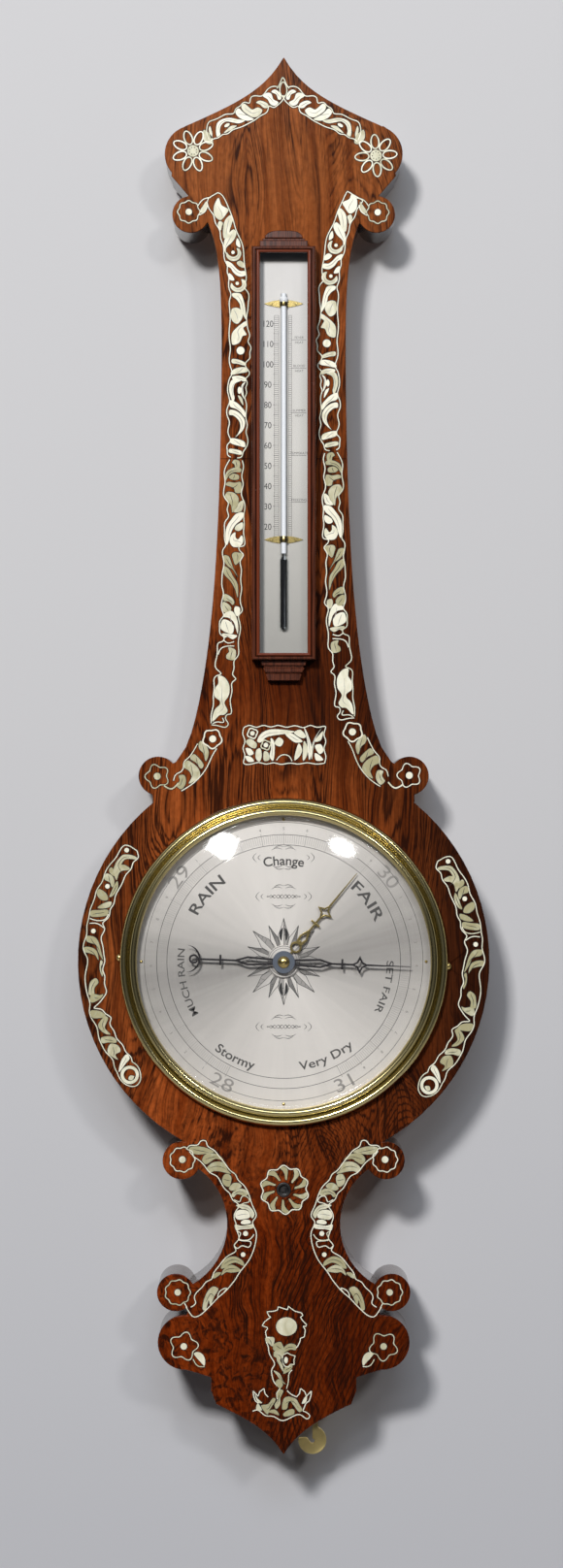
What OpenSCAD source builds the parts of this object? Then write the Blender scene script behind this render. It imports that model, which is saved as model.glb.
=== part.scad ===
// Wheel barometer in a scrolled wall case, with a boxed thermometer, a float-driven hand and a set hand.
// The frame: +Z is up, the front faces -Y, the case back lies in the plane y = 0.
// The origin is the centre of the hanging hole. Most heights below are measured from the dial's centre.

/* [Case] */
// height of the hanging hole above the dial's centre
dial_drop = 582; // [570:1:585]
// depth of the case from the wall to its front face
case_depth = 45; // [43:0.5:50]
// thickness of the front veneer, which is also the dial plate's thickness
veneer_t = 1.5; // [1:0.1:2]
// radius of the round body
body_r = 141; // [136:0.5:146]
// half-width that the neck tends to at its middle
neck_half = 41.4; // [40:0.2:46]
// height of the neck's foot
foot_z = 135; // [130:1:140]
// extra half-width of the neck at its foot
foot_flare = 28; // [20:0.5:32]
// height over which the foot's flare dies away
foot_reach = 82; // [60:1:95]
// extra half-width of the small toe below the neck's foot
toe_flare = 6.4; // [4:0.2:8]
// height over which the toe dies away
toe_reach = 8; // [6:0.5:10]
// height of the notch between the neck and the crest
neck_top_z = 525; // [520:1:530]
// extra half-width at the top of the neck
top_flare = 23; // [16:0.5:28]
// height over which the top flare dies away
top_reach = 23; // [16:0.5:28]

/* [Crest] */
// height of the crest's tip
crest_z = 619.8; // [612:0.2:628]
// slope of the crest's outer run
crest_slope = 0.43; // [0.35:0.01:0.5]
// height of the crest's steep middle
crest_drop = 18.5; // [14:0.5:22]
// half-width over which the steep middle dies away
crest_reach = 14; // [10:0.5:18]
// half-width where the crest's curve meets the ear
ogee_half = 68; // [65:0.5:70]
// sideways place of the ear's centre
ear_x = 62; // [58:0.5:66]
// height of the ear's centre
ear_z = 553.5; // [550:0.5:557]
// radius of the ear
ear_r = 19.5; // [18:0.5:21]
// half-width of the corner below the ear
ear_foot_half = 77; // [74:0.5:79]
// height of the corner below the ear
ear_foot_z = 538.5; // [536:0.5:542]

/* [Scrolls] */
// sideways place of the scrolls below the crest
top_scroll_x = 63.7; // [60:0.1:66]
// height of the scrolls below the crest
top_scroll_z = 512; // [508:0.5:514]
// radius of the scrolls below the crest
top_scroll_r = 12.6; // [11:0.1:14]
// sideways place of the scrolls at the neck's foot
waist_scroll_x = 86.1; // [84:0.1:88]
// height of the scrolls at the neck's foot
waist_scroll_z = 127.2; // [125:0.1:129]
// radius of the scrolls at the neck's foot
waist_scroll_r = 13.3; // [12.8:0.1:14.5]
// sideways place of the upper tail scrolls
tail_scroll_x = 70; // [67:0.5:73]
// depth of the upper tail scrolls below the dial's centre
tail_scroll_z = 136.3; // [134:0.1:139]
// radius of the upper tail scrolls
tail_scroll_r = 13; // [12:0.1:14]
// sideways place of the lower tail scrolls
low_scroll_x = 74; // [71:0.5:77]
// height of the lower tail scrolls above the channel's foot
low_scroll_up = 57.2; // [55:0.2:60]
// radius of the lower tail scrolls
low_scroll_r = 12.8; // [12:0.1:14]

/* [Tail] */
// half-width of the tail before its sides are cut
tail_half = 66; // [63:0.5:69]
// sideways place of the round cuts that shape the tail's waist
cut_x = 85.7; // [84:0.1:88]
// height of the round cuts' centres above the middle between the tail's scrolls
cut_up = 1.35; // [0:0.05:2.5]
// reach of the round cuts past the centres of the tail's scrolls
cut_past = 1.75; // [0:0.05:2.5]
// sideways place of the tail's ears
tail_ear_x = 67.5; // [65:0.5:70]
// height of the tail's ears above the channel's foot
tail_ear_up = 23; // [20:0.5:26]
// radius of the tail's ears
tail_ear_r = 18.8; // [17:0.2:20]
// half-width of the tail at its lower corners
apron_half = 77; // [72:0.5:80]
// height of the lower corners above the channel's foot
apron_up = 7.5; // [5:0.5:11]
// half-width of the small plinth under the tail
base_half = 49.7; // [46:0.1:54]
// depth of the plinth's top below the channel's foot
base_down = 1; // [0.5:0.5:4]
// height of the plinth's upright side
base_h = 9; // [6:0.5:11]
// depth of the tail's tip below the channel's foot
tip_down = 53.8; // [48:0.2:59]
// slope of the plinth's lower edge
tip_slope = 0.45; // [0.38:0.01:0.5]
// height of the steep part near the tip
tip_drop = 14; // [11:0.5:16]
// half-width over which the steep part dies away
tip_reach = 12; // [9:0.5:15]
// share of the body's radius at which the tail starts
tail_root = 0.8; // [0.75:0.01:0.85]
// share of the plinth's half-width where its round corner ends
base_corner = 0.93; // [0.85:0.01:0.96]

/* [Hollows and back] */
// half-width of the channel in the back
channel_half = 28.2; // [28:0.1:29]
// depth of the channel
channel_depth = 39.5; // [39:0.1:40.5]
// height of the crest block's joint above the trunk cover's end
joint_up = 3.3; // [2.5:0.1:4]
// height of the channel's top
channel_top = 560; // [556:1:562]
// depth of the channel's foot below the dial's centre, on which the lower tail hangs
channel_foot = 284; // [280:1:286]
// radius of the opening behind the dial
opening_r = 70; // [66:0.5:73]
// half-width of the covers over the channel
cover_half = 32.7; // [32:0.1:33]
// thickness of the covers
cover_t = 3; // [2:0.1:3.4]
// distance from the dial's centre to the near end of both covers
cover_near = 82.3; // [82:0.1:86]
// how far a cover laps past the channel's end
cover_lap = 5.7; // [5:0.1:6]
// gap round the covers and the door
fit_gap = 0.3; // [0.2:0.05:0.5]
// radius of the cover screws' shanks
cover_screw_r = 1.1; // [0.8:0.1:1.4]
// radius of the cover screws' heads
cover_head_r = 2; // [1.7:0.1:2.1]
// length of the cover screws
cover_screw_l = 12; // [8:0.5:20]
// distance of the cover screws from the cover's side
cover_screw_in = 2.15; // [2.1:0.05:2.5]
// distance of the cover screws from the cover's ends
cover_screw_end = 6.5; // [5:0.5:10]

/* [Back door] */
// half-width of the door
door_half = 76; // [75:0.5:78]
// thickness of the door
door_t = 4; // [3.5:0.1:4.4]
// set-back of the door's outer face from the case back
door_in = 1; // [0.9:0.1:1.3]
// gap behind the door
door_floor_gap = 0.1; // [0.05:0.05:0.3]
// depth of the relief along the hinge
hinge_floor = 6.2; // [6.1:0.05:6.6]
// sideways place of the hinge's axis
hinge_x = -77.5; // [-78:0.1:-77]
// depth of the hinge's axis
hinge_h = 2; // [1.95:0.05:2.1]
// radius of the hinge knuckles
knuckle_r = 1.8; // [1.6:0.05:1.85]
// radius of the hinge pins
hinge_pin_r = 0.9; // [0.7:0.05:1]
// half-height of each hinge
hinge_half = 12; // [10:0.5:14]
// height of the hinges above and below the dial's centre
hinge_z = 48; // [40:1:54]
// gap between the hinge's axis and the door's edge
hinge_edge = 2.2; // [2.1:0.05:2.5]
// thickness of the hinge leaves
leaf_t = 0.8; // [0.6:0.05:0.8]
// reach of the hinge leaves from the axis
leaf_reach = 14; // [12:0.5:16]
// distance of the hinge screws from the axis
leaf_screw_x = 9.8; // [9:0.1:11]
// share of the hinge's half-height at which its screws lie
leaf_screw_share = 0.6; // [0.4:0.05:0.7]
// radius of the hinge screws' shanks
leaf_screw_r = 0.8; // [0.6:0.05:1]
// radius of the hinge screws' heads
leaf_head_r = 1.6; // [1.4:0.05:1.8]
// radius of the finger notch at the door's free edge
notch_r = 10; // [8:0.5:12]
// depth of the finger notch
notch_depth = 10; // [8:0.5:14]

/* [Hanging and steadying] */
// radius of the hanging hole
hang_r = 4; // [3:0.1:5]
// half-width of the hanging plate
hang_half = 22; // [20:0.5:22]
// half-height of the hanging plate
hang_half_h = 8; // [7:0.2:8.2]
// thickness of the hanging plate
hang_t = 2; // [1.5:0.1:3]
// radius of the pocket behind the hanging hole
pocket_r = 7; // [6:0.2:7.5]
// depth of the pocket behind the hanging hole
pocket_depth = 16; // [12:0.5:20]
// sideways place of the hanging plate's screws
hang_screw_x = 16; // [14:0.2:17]
// radius of the hanging plate's screws
hang_screw_r = 1.3; // [1:0.1:1.6]
// radius of their heads
hang_head_r = 2.6; // [2.2:0.1:3]
// thickness of their heads
hang_head_t = 1; // [0.8:0.1:1.2]
// length of the hanging plate's screws
hang_screw_l = 18; // [12:0.5:24]
// sideways place of the steady hook's pivot
hook_x = 22; // [20:0.2:22.6]
// depth of the pivot below the tail cover's end
hook_down = 13.3; // [12.8:0.1:14]
// drop from the pivot to the hook's ring
hook_len = 33; // [30:0.2:36]
// sideways offset of the ring from the pivot
hook_off = 2; // [1.6:0.1:2.4]
// outer radius of the hook's ring
hook_ring_r = 9.8; // [9:0.1:10.6]
// half-width of the slot at the middle of the ring
hook_slot = 2; // [1.6:0.1:2.4]
// reach of the ring's mouth as a share of its radius
hook_mouth = 1.25; // [1.2:0.01:1.4]
// radius of the hook's eye
hook_eye_r = 6; // [5.4:0.1:6.5]
// width of the hook's shank
hook_shank = 4; // [3.8:0.1:4.8]
// thickness of the hook
hook_t = 2.2; // [1.6:0.1:2.3]
// depth of the hook's recess
hook_recess = 4; // [3.95:0.05:4.3]
// radius of the hook's screw
hook_screw_r = 2; // [1.6:0.1:2.4]
// radius of the hook screw's head
hook_head_r = 4; // [3.6:0.1:4.4]
// length of the hook's screw
hook_screw_l = 18; // [12:0.5:24]
// half-angle of the recess that the hook swings in
hook_sweep = 66; // [62:1:72]
// radius of the recess round the hook's eye
hook_recess_r = 8; // [7.5:0.1:10]

/* [Dial and bezel] */
// radius of the bezel's glass seat, which sets the size of the dial
seat_r = 104; // [100:0.5:108]
// gap between the dial plate's edge and the bezel
dial_gap = 0.5; // [0.4:0.1:1]
// width of the bezel outside its glass seat
bezel_w = 9.7; // [8.8:0.1:11]
// reach of the bezel's front lip inside its glass seat
lip_in = 4; // [3:0.1:5.5]
// height of the glass seat above the case front
seat_h = 7; // [6.8:0.1:7.6]
// thickness of the glass
glass_t = 1.8; // [1.4:0.1:1.8]
// rise of the glass from its rim to its middle
glass_rise = 9; // [8:0.1:10]
// gap between the glass and its seat
glass_gap = 0.3; // [0.2:0.05:0.4]
// height of the ring that holds the glass
ring_h = 1.7; // [1.2:0.1:2.2]
// width of the ring that holds the glass
ring_w = 2.7; // [2.2:0.1:3.2]
// height of the bezel's inner roll above the case front
inner_roll_h = 12.5; // [11.5:0.1:14]
// height of the bezel's outer roll above the case front
outer_roll_h = 10.2; // [9.4:0.1:11]
// height of the groove between the rolls above the case front
groove_h = 9; // [8.4:0.1:9.3]
// height of the bezel's outer flange
flange_h = 2.4; // [2:0.1:3]
// width of the bezel's outer flange
flange_w = 3.1; // [2.8:0.1:3.4]
// distance of the bezel screws from the bezel's outer edge
bezel_screw_in = 1.5; // [1.3:0.1:1.8]
// turn of the bezel screws from level
bezel_screw_angle = 1.5; // [0:0.1:3]
// radius of the bezel screws' shanks
bezel_screw_r = 1; // [0.8:0.05:1.2]
// radius of the bezel screws' round heads
bezel_head_r = 2.5; // [2.2:0.05:2.7]
// length of the bezel screws
bezel_screw_l = 12; // [8:0.5:18]
// distance of the dial pins from the dial plate's edge
dial_pin_in = 5.9; // [5.1:0.1:6.9]
// radius of the dial pins
dial_pin_r = 0.6; // [0.5:0.05:0.8]
// radius of the dial pins' heads
dial_pin_head = 1.1; // [0.9:0.05:1.3]
// length of the dial pins
dial_pin_l = 14; // [10:0.5:20]
// number of dial pins
dial_pin_n = 4; // [3:1:8]

/* [Hands and movement] */
// angle of the indicating hand, clockwise from the top
hand_rest = 92.1; // [-153:0.1:153]
// angle of the set hand, clockwise from the top
set_rest = 39.6; // [-153:0.1:153]
// distance of the indicating hand's point from the dial plate's edge
hand_short = 17; // [16.5:0.1:21]
// length of the indicating hand's tail
hand_tail = 61.5; // [56:0.1:64]
// radius of the indicating hand's hub
hub_r = 7.7; // [7:0.1:8.4]
// thickness of both hands
hand_t = 0.8; // [0.6:0.05:0.9]
// height of the indicating hand above the dial
hand_h = 6.2; // [6:0.1:6.3]
// height of the set hand above the dial
set_h = 3.2; // [2.8:0.1:3.6]
// distance of the set hand's point from the dial plate's edge
set_short = 24.9; // [23.5:0.1:29]
// half-width of the hands' arches
arch_half = 3.2; // [2.8:0.1:3.6]
// reach of the hands' arches
arch_len = 33; // [30:0.2:36]
// share of the arch's half-width at its foot
arch_foot = 0.7; // [0.6:0.05:0.8]
// share of the arch's reach at its widest point
arch_knee = 0.75; // [0.65:0.01:0.8]
// size of the set hand's parts as a share of the indicating hand's
set_share = 0.85; // [0.8:0.01:0.88]
// width of the hands' bars
bar_w = 1.4; // [1.2:0.05:1.6]
// half-length of the hands' crossbars
cross_half = 3.6; // [3:0.1:4.2]
// radius at which the indicating hand's crossbar lies
cross_at = 40; // [38:0.2:42]
// radius of the middle of the indicating hand's diamond
diamond_at = 52; // [50:0.2:54]
// half-diagonal of the diamond
diamond_half = 6.3; // [5.4:0.1:7]
// share of the diamond that is open
diamond_open = 0.55; // [0.4:0.01:0.62]
// inward curve of the diamond's sides
diamond_curve = 0.36; // [0.3:0.01:0.45]
// radius of the ring on the indicating hand's tail
tail_ring_r = 3.3; // [2.8:0.1:3.8]
// reach of the horns on the tail
horn_r = 9.3; // [8.4:0.1:10.2]
// radius of the set hand's ring
set_ring_r = 4; // [3.6:0.1:4.4]
// radius at which the set hand's ring lies
set_ring_at = 13; // [12:0.2:14]
// radius of the set hand's collet
collet_r = 11; // [10:0.1:12]
// height of the gap under the collet
collet_gap = 0.4; // [0.3:0.05:0.5]
// thickness of the collet
collet_t = 1.4; // [1:0.1:1.8]
// radius of the hand's button
button_r = 4.2; // [3.6:0.1:4.6]
// height of the hand's button
button_h = 3; // [2.4:0.1:3.4]
// radius of the pulley arbor
arbor_r = 1.2; // [1:0.05:1.4]
// outer radius of the set hand's pipe
pipe_r = 2.4; // [2.2:0.05:2.8]
// running clearance of each turning fit
run_gap = 0.05; // [0.03:0.01:0.08]
// depth of the bridge's outer face
bridge_h = 10; // [9:0.2:11]
// thickness of the bridge
bridge_t = 2; // [1.6:0.1:2.4]
// width of the bridge
bridge_w = 8; // [6:0.1:9]
// half-span of the bridge
bridge_half = 25; // [23:0.2:28]
// reach of the bridge's feet
bridge_foot = 10; // [8:0.2:12]
// radius of the bridge screws
bridge_screw_r = 1; // [0.8:0.05:1.2]
// radius of the bridge screws' heads
bridge_head_r = 2.2; // [1.9:0.05:2.6]
// thickness of the bridge screws' heads
bridge_head_t = 1.4; // [1:0.1:1.8]
// depth that the bridge screws reach into the dial plate
bridge_bite = 0.9; // [0.6:0.05:0.95]
// depth of the float cord's groove
float_h = 26; // [25.5:0.1:26.5]
// depth of the counterweight cord's groove
weight_h = 22; // [21.5:0.1:22.2]
// turning radius of the float cord
cord_at = 7.134; // [7:0.001:7.3]
// radius of the cords
cord_r = 0.3; // [0.25:0.01:0.35]
// radius of the float pulley's cheeks
cheek_r = 9; // [8.6:0.1:9.6]
// width of the pulley grooves
groove_w = 1.6; // [1.4:0.05:1.8]
// thickness of the pulleys' outer cheeks
cheek_t = 1.2; // [1:0.05:1.3]
// depth of the set cord's groove
set_cord_h = 36; // [35.7:0.1:36.2]
// turning radius of the set cord
set_cord_at = 8; // [7.4:0.1:8.4]
// radius of the set cord
set_cord_r = 0.5; // [0.4:0.02:0.55]
// depth of the set key below the dial's centre
key_z = 156.3; // [154:0.1:159]
// radius of the set key's arbor
key_r = 2.5; // [2.2:0.05:2.8]
// side of the set key's square
key_square = 3; // [2.6:0.1:3.3]
// outer radius of the set key's bush
bush_r = 5; // [4.6:0.1:5.4]
// radius of the bush's mouth
bush_mouth_r = 3.4; // [3.2:0.05:3.6]
// depth of the bush's mouth
bush_mouth = 2.8; // [2.2:0.1:3.4]
// how far the bush stands out of the veneer
bush_out = 0.8; // [0.5:0.1:1.2]

/* [Mercury tube] */
// sideways place of the long limb
limb_x = 21; // [20.6:0.1:21.4]
// outer radius of the tube
tube_r = 4.5; // [4.2:0.05:4.7]
// bore radius of the tube
tube_bore = 3; // [2.8:0.05:3.2]
// height of the tube's closed top
tube_top = 545; // [540:1:552]
// height of the bend's centre above the channel's foot
bend_up = 18; // [17:1:22]
// depth of the short limb's open top below the dial's centre
short_top = 58; // [50:1:62]
// height of the mercury in the long limb
mercury_top = 528; // [520:1:536]
// height of the mercury in the open limb above the bend's centre
open_rise = 22; // [18:0.5:26]
// radius of the float
float_r = 2.3; // [2:0.05:2.4]
// length of the float
float_len = 16; // [12:0.5:18]
// radius of the counterweight
weight_r = 1.8; // [1.5:0.05:1.9]
// length of the counterweight
weight_len = 14; // [10:0.5:16]
// depth of the counterweight's top below the dial's centre
weight_z = 105; // [100:0.5:110]
// outer radius of the counterweight's tube
guide_r = 3.5; // [3.3:0.05:3.7]
// bore radius of the counterweight's tube
guide_bore = 2.3; // [2.2:0.05:2.5]
// depth of the counterweight tube's top below the dial's centre
guide_top = 62; // [58:1:66]
// depth of the counterweight tube's foot below the dial's centre
guide_foot = 172; // [168:1:176]
// half-width of the tube saddles
saddle_half = 7; // [6:0.1:7.1]
// half-height of the tube saddles
saddle_half_h = 8; // [5:0.2:12]
// height of the first saddle
saddle_z = 150; // [130:1:160]
// spacing of the saddles above it
saddle_step = 180; // [150:1:190]
// number of saddles above the dial
saddle_n = 3; // [2:1:3]
// height of the lowest saddle above the bend's centre
saddle_up = 51; // [41:1:61]
// depth of the face of the saddles and ties
saddle_h = 16; // [15.4:0.2:17]
// depth of the upper tie below the dial's centre
tie_z = 80; // [76:0.5:86]
// spacing of the two ties
tie_step = 82; // [76:1:86]
// half-width of the ties
tie_half = 13; // [12.6:0.1:13.6]
// half-height of the ties
tie_half_h = 4; // [3:0.2:5]
// depth of the ties' inner face
tie_h = 32.5; // [31.5:0.1:33]

/* [Thermometer] */
// width of the thermometer box
thermo_w = 43.5; // [41:0.1:46]
// height of the box's lower edge
thermo_low = 206.4; // [202:0.2:210]
// height of the box
thermo_len = 281.7; // [278:0.1:284]
// width of the box's side rails at the front
rail_w = 5.6; // [5:0.1:6.4]
// width of the box's end rails at the front
rail_end = 4.6; // [4:0.1:5.4]
// depth of the box
thermo_depth = 15; // [12:0.1:15.2]
// thickness of the box's front lip
thermo_lip = 2; // [1.6:0.1:2.4]
// depth of the rebate behind the lip
thermo_rebate = 1.3; // [1:0.05:1.6]
// thickness of the box's pane
pane_t = 1.5; // [1.2:0.05:2]
// thickness of the scale plate
plate_t = 1; // [0.8:0.05:1.2]
// gap round the pane and the plate
pane_gap = 0.2; // [0.1:0.05:0.3]
// radius of the thermometer's stem
stem_r = 2; // [1.8:0.05:2.1]
// bore radius of the stem
stem_bore = 0.8; // [0.6:0.05:1]
// radius of the bulb
bulb_r = 2.85; // [2.6:0.05:2.9]
// bore radius of the bulb
bulb_bore = 2.3; // [2:0.05:2.4]
// height of the stem's top
stem_top = 457; // [452:0.5:462]
// height of the bulb's top
bulb_top = 278; // [274:0.5:281]
// height of the bulb's foot
bulb_foot = 227; // [222:0.5:231]
// length of the tapers at the bulb's ends
bulb_taper = 3; // [2.4:0.1:4]
// height that the thermometer's mercury reaches
reading_z = 354; // [320:1:420]
// gap between the bulb and the plate
bulb_gap = 0.1; // [0.05:0.05:0.2]
// height of the lower clip
clip_z = 289; // [286:0.5:294]
// spacing of the clips
clip_step = 161.5; // [156:0.5:164]
// half-length of the clips
clip_half = 13.5; // [12:0.1:14.5]
// half-height of the clips
clip_half_h = 2.6; // [2.2:0.1:3]
// thickness of the clips
clip_t = 0.8; // [0.6:0.05:0.85]
// sideways place of the clip pins
clip_pin_x = 8.6; // [7.6:0.1:9.4]
// radius of the clip pins
clip_pin_r = 0.6; // [0.5:0.05:0.8]
// radius of the clip pins' heads
clip_head_r = 1; // [0.9:0.05:1.3]
// half-width of the cornice's lower tier
cornice_half = 16.5; // [15.5:0.1:18]
// height of each tier of the cornice
cornice_h = 5.8; // [5:0.1:6.4]
// half-width of the cornice's upper tier
cornice_top_half = 13; // [12:0.1:14]
// radius of the upper tier's hollow ends
cornice_cove = 3.6; // [3:0.1:4]
// depth of the cornice and the bracket
cornice_depth = 9; // [7:0.1:10]
// half-width of the bracket's top
bracket_half = 16; // [15:0.1:17.5]
// half-width of the bracket's foot
bracket_foot_half = 11; // [10:0.1:12]
// height of the bracket
bracket_h = 14; // [12:0.1:15]
// height of each step of the bracket
bracket_step = 4; // [3.4:0.1:4.4]
// inward run of each step of the bracket
bracket_in = 1.4; // [1:0.1:1.8]

/* [Inlay] */
// thickness by which the inlay stands on the veneer
inlay_t = 0.3; // [0.2:0.05:0.4]
// half-width of the inlay bands
band_half = 4; // [3.4:0.1:4.6]
// depth of the scallops on the bands' edges
band_wave = 1; // [0.6:0.1:1.4]
// distance of the trunk's bands from the case's edge
trunk_in = 11.6; // [11:0.1:12.2]
// height of the trunk bands' lower end
trunk_low = 150; // [146:1:156]
// height of the trunk bands' upper end
trunk_high = 500; // [494:1:504]
// depth of the crest's band below the crest's edge
crest_in = 20; // [18:0.2:22]
// distance of the dial's side bands outside the middle of the wood there
side_band_out = 1.65; // [0.6:0.05:3]
// half-angle of the bands at the dial's sides
side_band_angle = 38; // [34:0.5:42]
// distance of the tail's bands from its round cuts
tail_in = 12; // [11:0.2:13]
// half-angle of the tail's bands
tail_band_angle = 46; // [40:0.5:52]
// reach of the crest's daisies
daisy_r = 13; // [11:0.2:14]
// reach of the scrolls' flowers
flower_r = 7.6; // [6.6:0.1:8.4]
// size of a petal as a share of its flower
petal_share = 0.3; // [0.25:0.01:0.32]
// number of petals on daisies and flowers
petal_n = 8; // [6:1:10]
// reach of the key's rosette
rosette_r = 16; // [14.5:0.1:17]
// number of petals on the rosette
rosette_n = 10; // [8:1:12]
// half-width of the waist panel
waist_half = 28; // [25:0.2:30]
// half-height of the waist panel
waist_half_h = 13; // [11:0.2:13.6]
// height of the waist panel's middle
waist_z = 148.5; // [146:0.5:151]
// height of the tail spray's middle above the channel's foot
spray_up = 35; // [32:0.5:38]
// radius of the tail spray's wreath
spray_r = 14; // [12:0.2:15.5]
// depth of the plinth panel's middle below the channel's foot
panel_down = 19; // [17:0.5:21]
// half-width of the plinth panel
panel_half = 19; // [17:0.2:21]
// half-height of the plinth panel
panel_half_h = 8; // [6.6:0.1:9]

/* [Hidden] */
$fn = 96;
eps = 0.01;
over = 1;
side_steps = 40;
ogee_steps = 16;
arc_steps = 14;
band_steps = 64;
roll_steps = 8;
dome_steps = 6;
dome_share = 0.75;
crest_waves = 13;
trunk_waves = 26;
tail_waves = 7;
front = case_depth;
carcass_h = case_depth - veneer_t;
low_scroll_z = channel_foot - low_scroll_up;
tail_ear_z = channel_foot - tail_ear_up;
cut_z = (tail_scroll_z + low_scroll_z) / 2 - cut_up;
cut_r = (low_scroll_z - tail_scroll_z) / 2 + cut_past;
apron_z = channel_foot - apron_up;
base_z = channel_foot + base_down;
tip_z = channel_foot + tip_down;
spray_z = channel_foot - spray_up;
panel_z = channel_foot + panel_down;
hook_z = channel_foot + cover_lap + hook_down;
joint_z = channel_top + cover_lap + joint_up;
bend_z = channel_foot - bend_up;
mercury_open = bend_z - open_rise;
saddle_low = bend_z - saddle_up;
dial_r = seat_r - dial_gap;
bezel_r = seat_r + bezel_w;
lip_r = seat_r - lip_in;
dial_pin_at = dial_r - dial_pin_in;
hand_len = dial_r - hand_short;
set_len = dial_r - set_short;
side_band_r = (bezel_r + body_r) / 2 + side_band_out;
pipe_low = set_cord_h - groove_w / 2 - cheek_t;
pulley_edge = groove_w / 2 + cheek_t;
bend_r = (limb_x - cord_at) / 2;
bend_x = (limb_x + cord_at) / 2;
stem_h = front + plate_t + bulb_gap + bulb_r;
thermo_mid = thermo_low + thermo_len / 2;
door_edge = hinge_x + hinge_edge;
hook_gap = 0.1;
hook_low = hook_recess - hook_gap - hook_t;
cover_ends = [[cover_near, channel_top + cover_lap], [-channel_foot - cover_lap, -cover_near]];
saddles = concat([for (i = [0:saddle_n - 1]) saddle_z + saddle_step * i], [-saddle_low]);
ties = [for (i = [0:1]) -tie_z - tie_step * i];
bezel_screw_at = bezel_r - bezel_screw_in;

wood_red = [0.36, 0.13, 0.06];
pine = [0.62, 0.45, 0.28];
brass = [0.72, 0.56, 0.25];
silvered = [0.80, 0.78, 0.72];
steel_blue = [0.07, 0.08, 0.13];
pearl = [0.86, 0.85, 0.80];
glass = [0.80, 0.88, 0.88, 0.35];
mercury = [0.62, 0.63, 0.66];
ebony = [0.05, 0.04, 0.04];
silk = [0.25, 0.30, 0.22];
cork = [0.60, 0.42, 0.26];

// the dial's centre as the working origin
module at_dial() translate([0, 0, -dial_drop]) children();

// a flat shape in the front view, from depth h0 to depth h1 in front of the wall
module slab(h0, h1) translate([0, -h0, 0]) rotate([90, 0, 0]) linear_extrude(h1 - h0) children();

// several flat shapes, each a plate of its own before they are joined
module plates(h0, h1) for (i = [0:$children - 1]) slab(h0, h1) children(i);

// a turned shape about an axis that points forward; its profile is radius and depth
module turned(x = 0, z = 0) translate([x, 0, z]) rotate([90, 0, 0]) rotate_extrude() children();

// a round rod along the depth
module rod(x, z, r, h0, h1) translate([x, -h0, z]) rotate([90, 0, 0]) cylinder(r = r, h = h1 - h0);

// an upright round rod at depth h
module post(x, h, r, z0, z1) translate([x, -h, z0]) cylinder(r = r, h = z1 - z0);

// a rectangle given by its edges
module box2(x0, x1, z0, z1) translate([x0, z0]) square([x1 - x0, z1 - z0]);

// a pointed oval
module lens(half, half_h) polygon(concat(
    [for (k = [0:arc_steps]) let (u = 2 * k / arc_steps - 1) [u * half, half_h * (1 - u * u)]],
    [for (k = [arc_steps - 1:-1:1]) let (u = 2 * k / arc_steps - 1) [u * half, -half_h * (1 - u * u)]]));

// a shape and its mirror image across the middle plane
module both() for (s = [0, 1]) mirror([s, 0]) children();

// half-width of the neck at height z
function neck_side(z) = neck_half + foot_flare * exp(-(z - foot_z) / foot_reach)
    + toe_flare * exp(-(z - foot_z) / toe_reach) + top_flare * exp(-(neck_top_z - z) / top_reach);

// height of the crest at half-width x
function crest_edge(x) = crest_z - crest_slope * x - crest_drop * (1 - exp(-x / crest_reach));

// height of the plinth's lower edge at half-width x
function tip_edge(x) = -tip_z + tip_slope * x + tip_drop * (1 - exp(-x / tip_reach));

// a closed symmetric polygon from the points of its right side, listed downwards
module symmetric(right) {
    n = len(right) - 1;
    polygon(concat(right, [for (i = [n:-1:0]) if (right[i][0] > eps) [-right[i][0], right[i][1]]]));
}

// the outline of the whole case in the front view
module outline() {
    neck_low = foot_z - toe_reach;
    circle(r = body_r);
    symmetric(concat(
        [for (i = [0:side_steps]) let (z = neck_top_z + (neck_low - neck_top_z) * i / side_steps)
            [neck_side(z), z]],
        [[neck_side(neck_low), neck_low - body_r / 5]]));
    symmetric(concat(
        [for (i = [0:ogee_steps]) let (x = ogee_half * i / ogee_steps) [x, crest_edge(x)]],
        [[ear_foot_half, ear_foot_z], [neck_side(neck_top_z), neck_top_z - over]]));
    both() translate([ear_x, ear_z]) circle(r = ear_r);
    both() translate([top_scroll_x, top_scroll_z]) circle(r = top_scroll_r);
    both() translate([waist_scroll_x, waist_scroll_z]) circle(r = waist_scroll_r);
    difference() {
        symmetric(concat(
            [[tail_half, -body_r * tail_root], [tail_half, -tail_ear_z], [apron_half, -apron_z],
                [base_half, -base_z], [base_half, -base_z - base_h]],
            [for (i = [ogee_steps:-1:0]) let (x = base_half * base_corner * i / ogee_steps)
                [x, tip_edge(x)]]));
        both() translate([cut_x, -cut_z]) circle(r = cut_r);
    }
    both() translate([tail_scroll_x, -tail_scroll_z]) circle(r = tail_scroll_r);
    both() translate([low_scroll_x, -low_scroll_z]) circle(r = low_scroll_r);
    both() translate([tail_ear_x, -tail_ear_z]) circle(r = tail_ear_r);
}

// the places of the cover screws, for one cover
function cover_spots(ends) = [for (x = [-1, 1], z = [0, 0.5, 1])
    [x * (cover_half - cover_screw_in), ends[0] + cover_screw_end
        + z * (ends[1] - ends[0] - cover_screw_end * 2)]];

// the places of the hinge screws at sideways place x
function hinge_spots(x) = [for (s = [-1, 1], t = [-1, 1])
    [x, s * hinge_z + t * hinge_half * leaf_screw_share]];

// the space that the steady hook swings in
module hook_space() {
    reach = hook_len * 3;
    translate([hook_x, -hook_z]) circle(r = hook_recess_r);
    wide = reach * sin(hook_sweep);
    low = -reach * cos(hook_sweep);
    translate([hook_x, -hook_z]) polygon([[0, hook_shank], [wide, low], [0, -reach * 2], [-wide, low]]);
}

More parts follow.
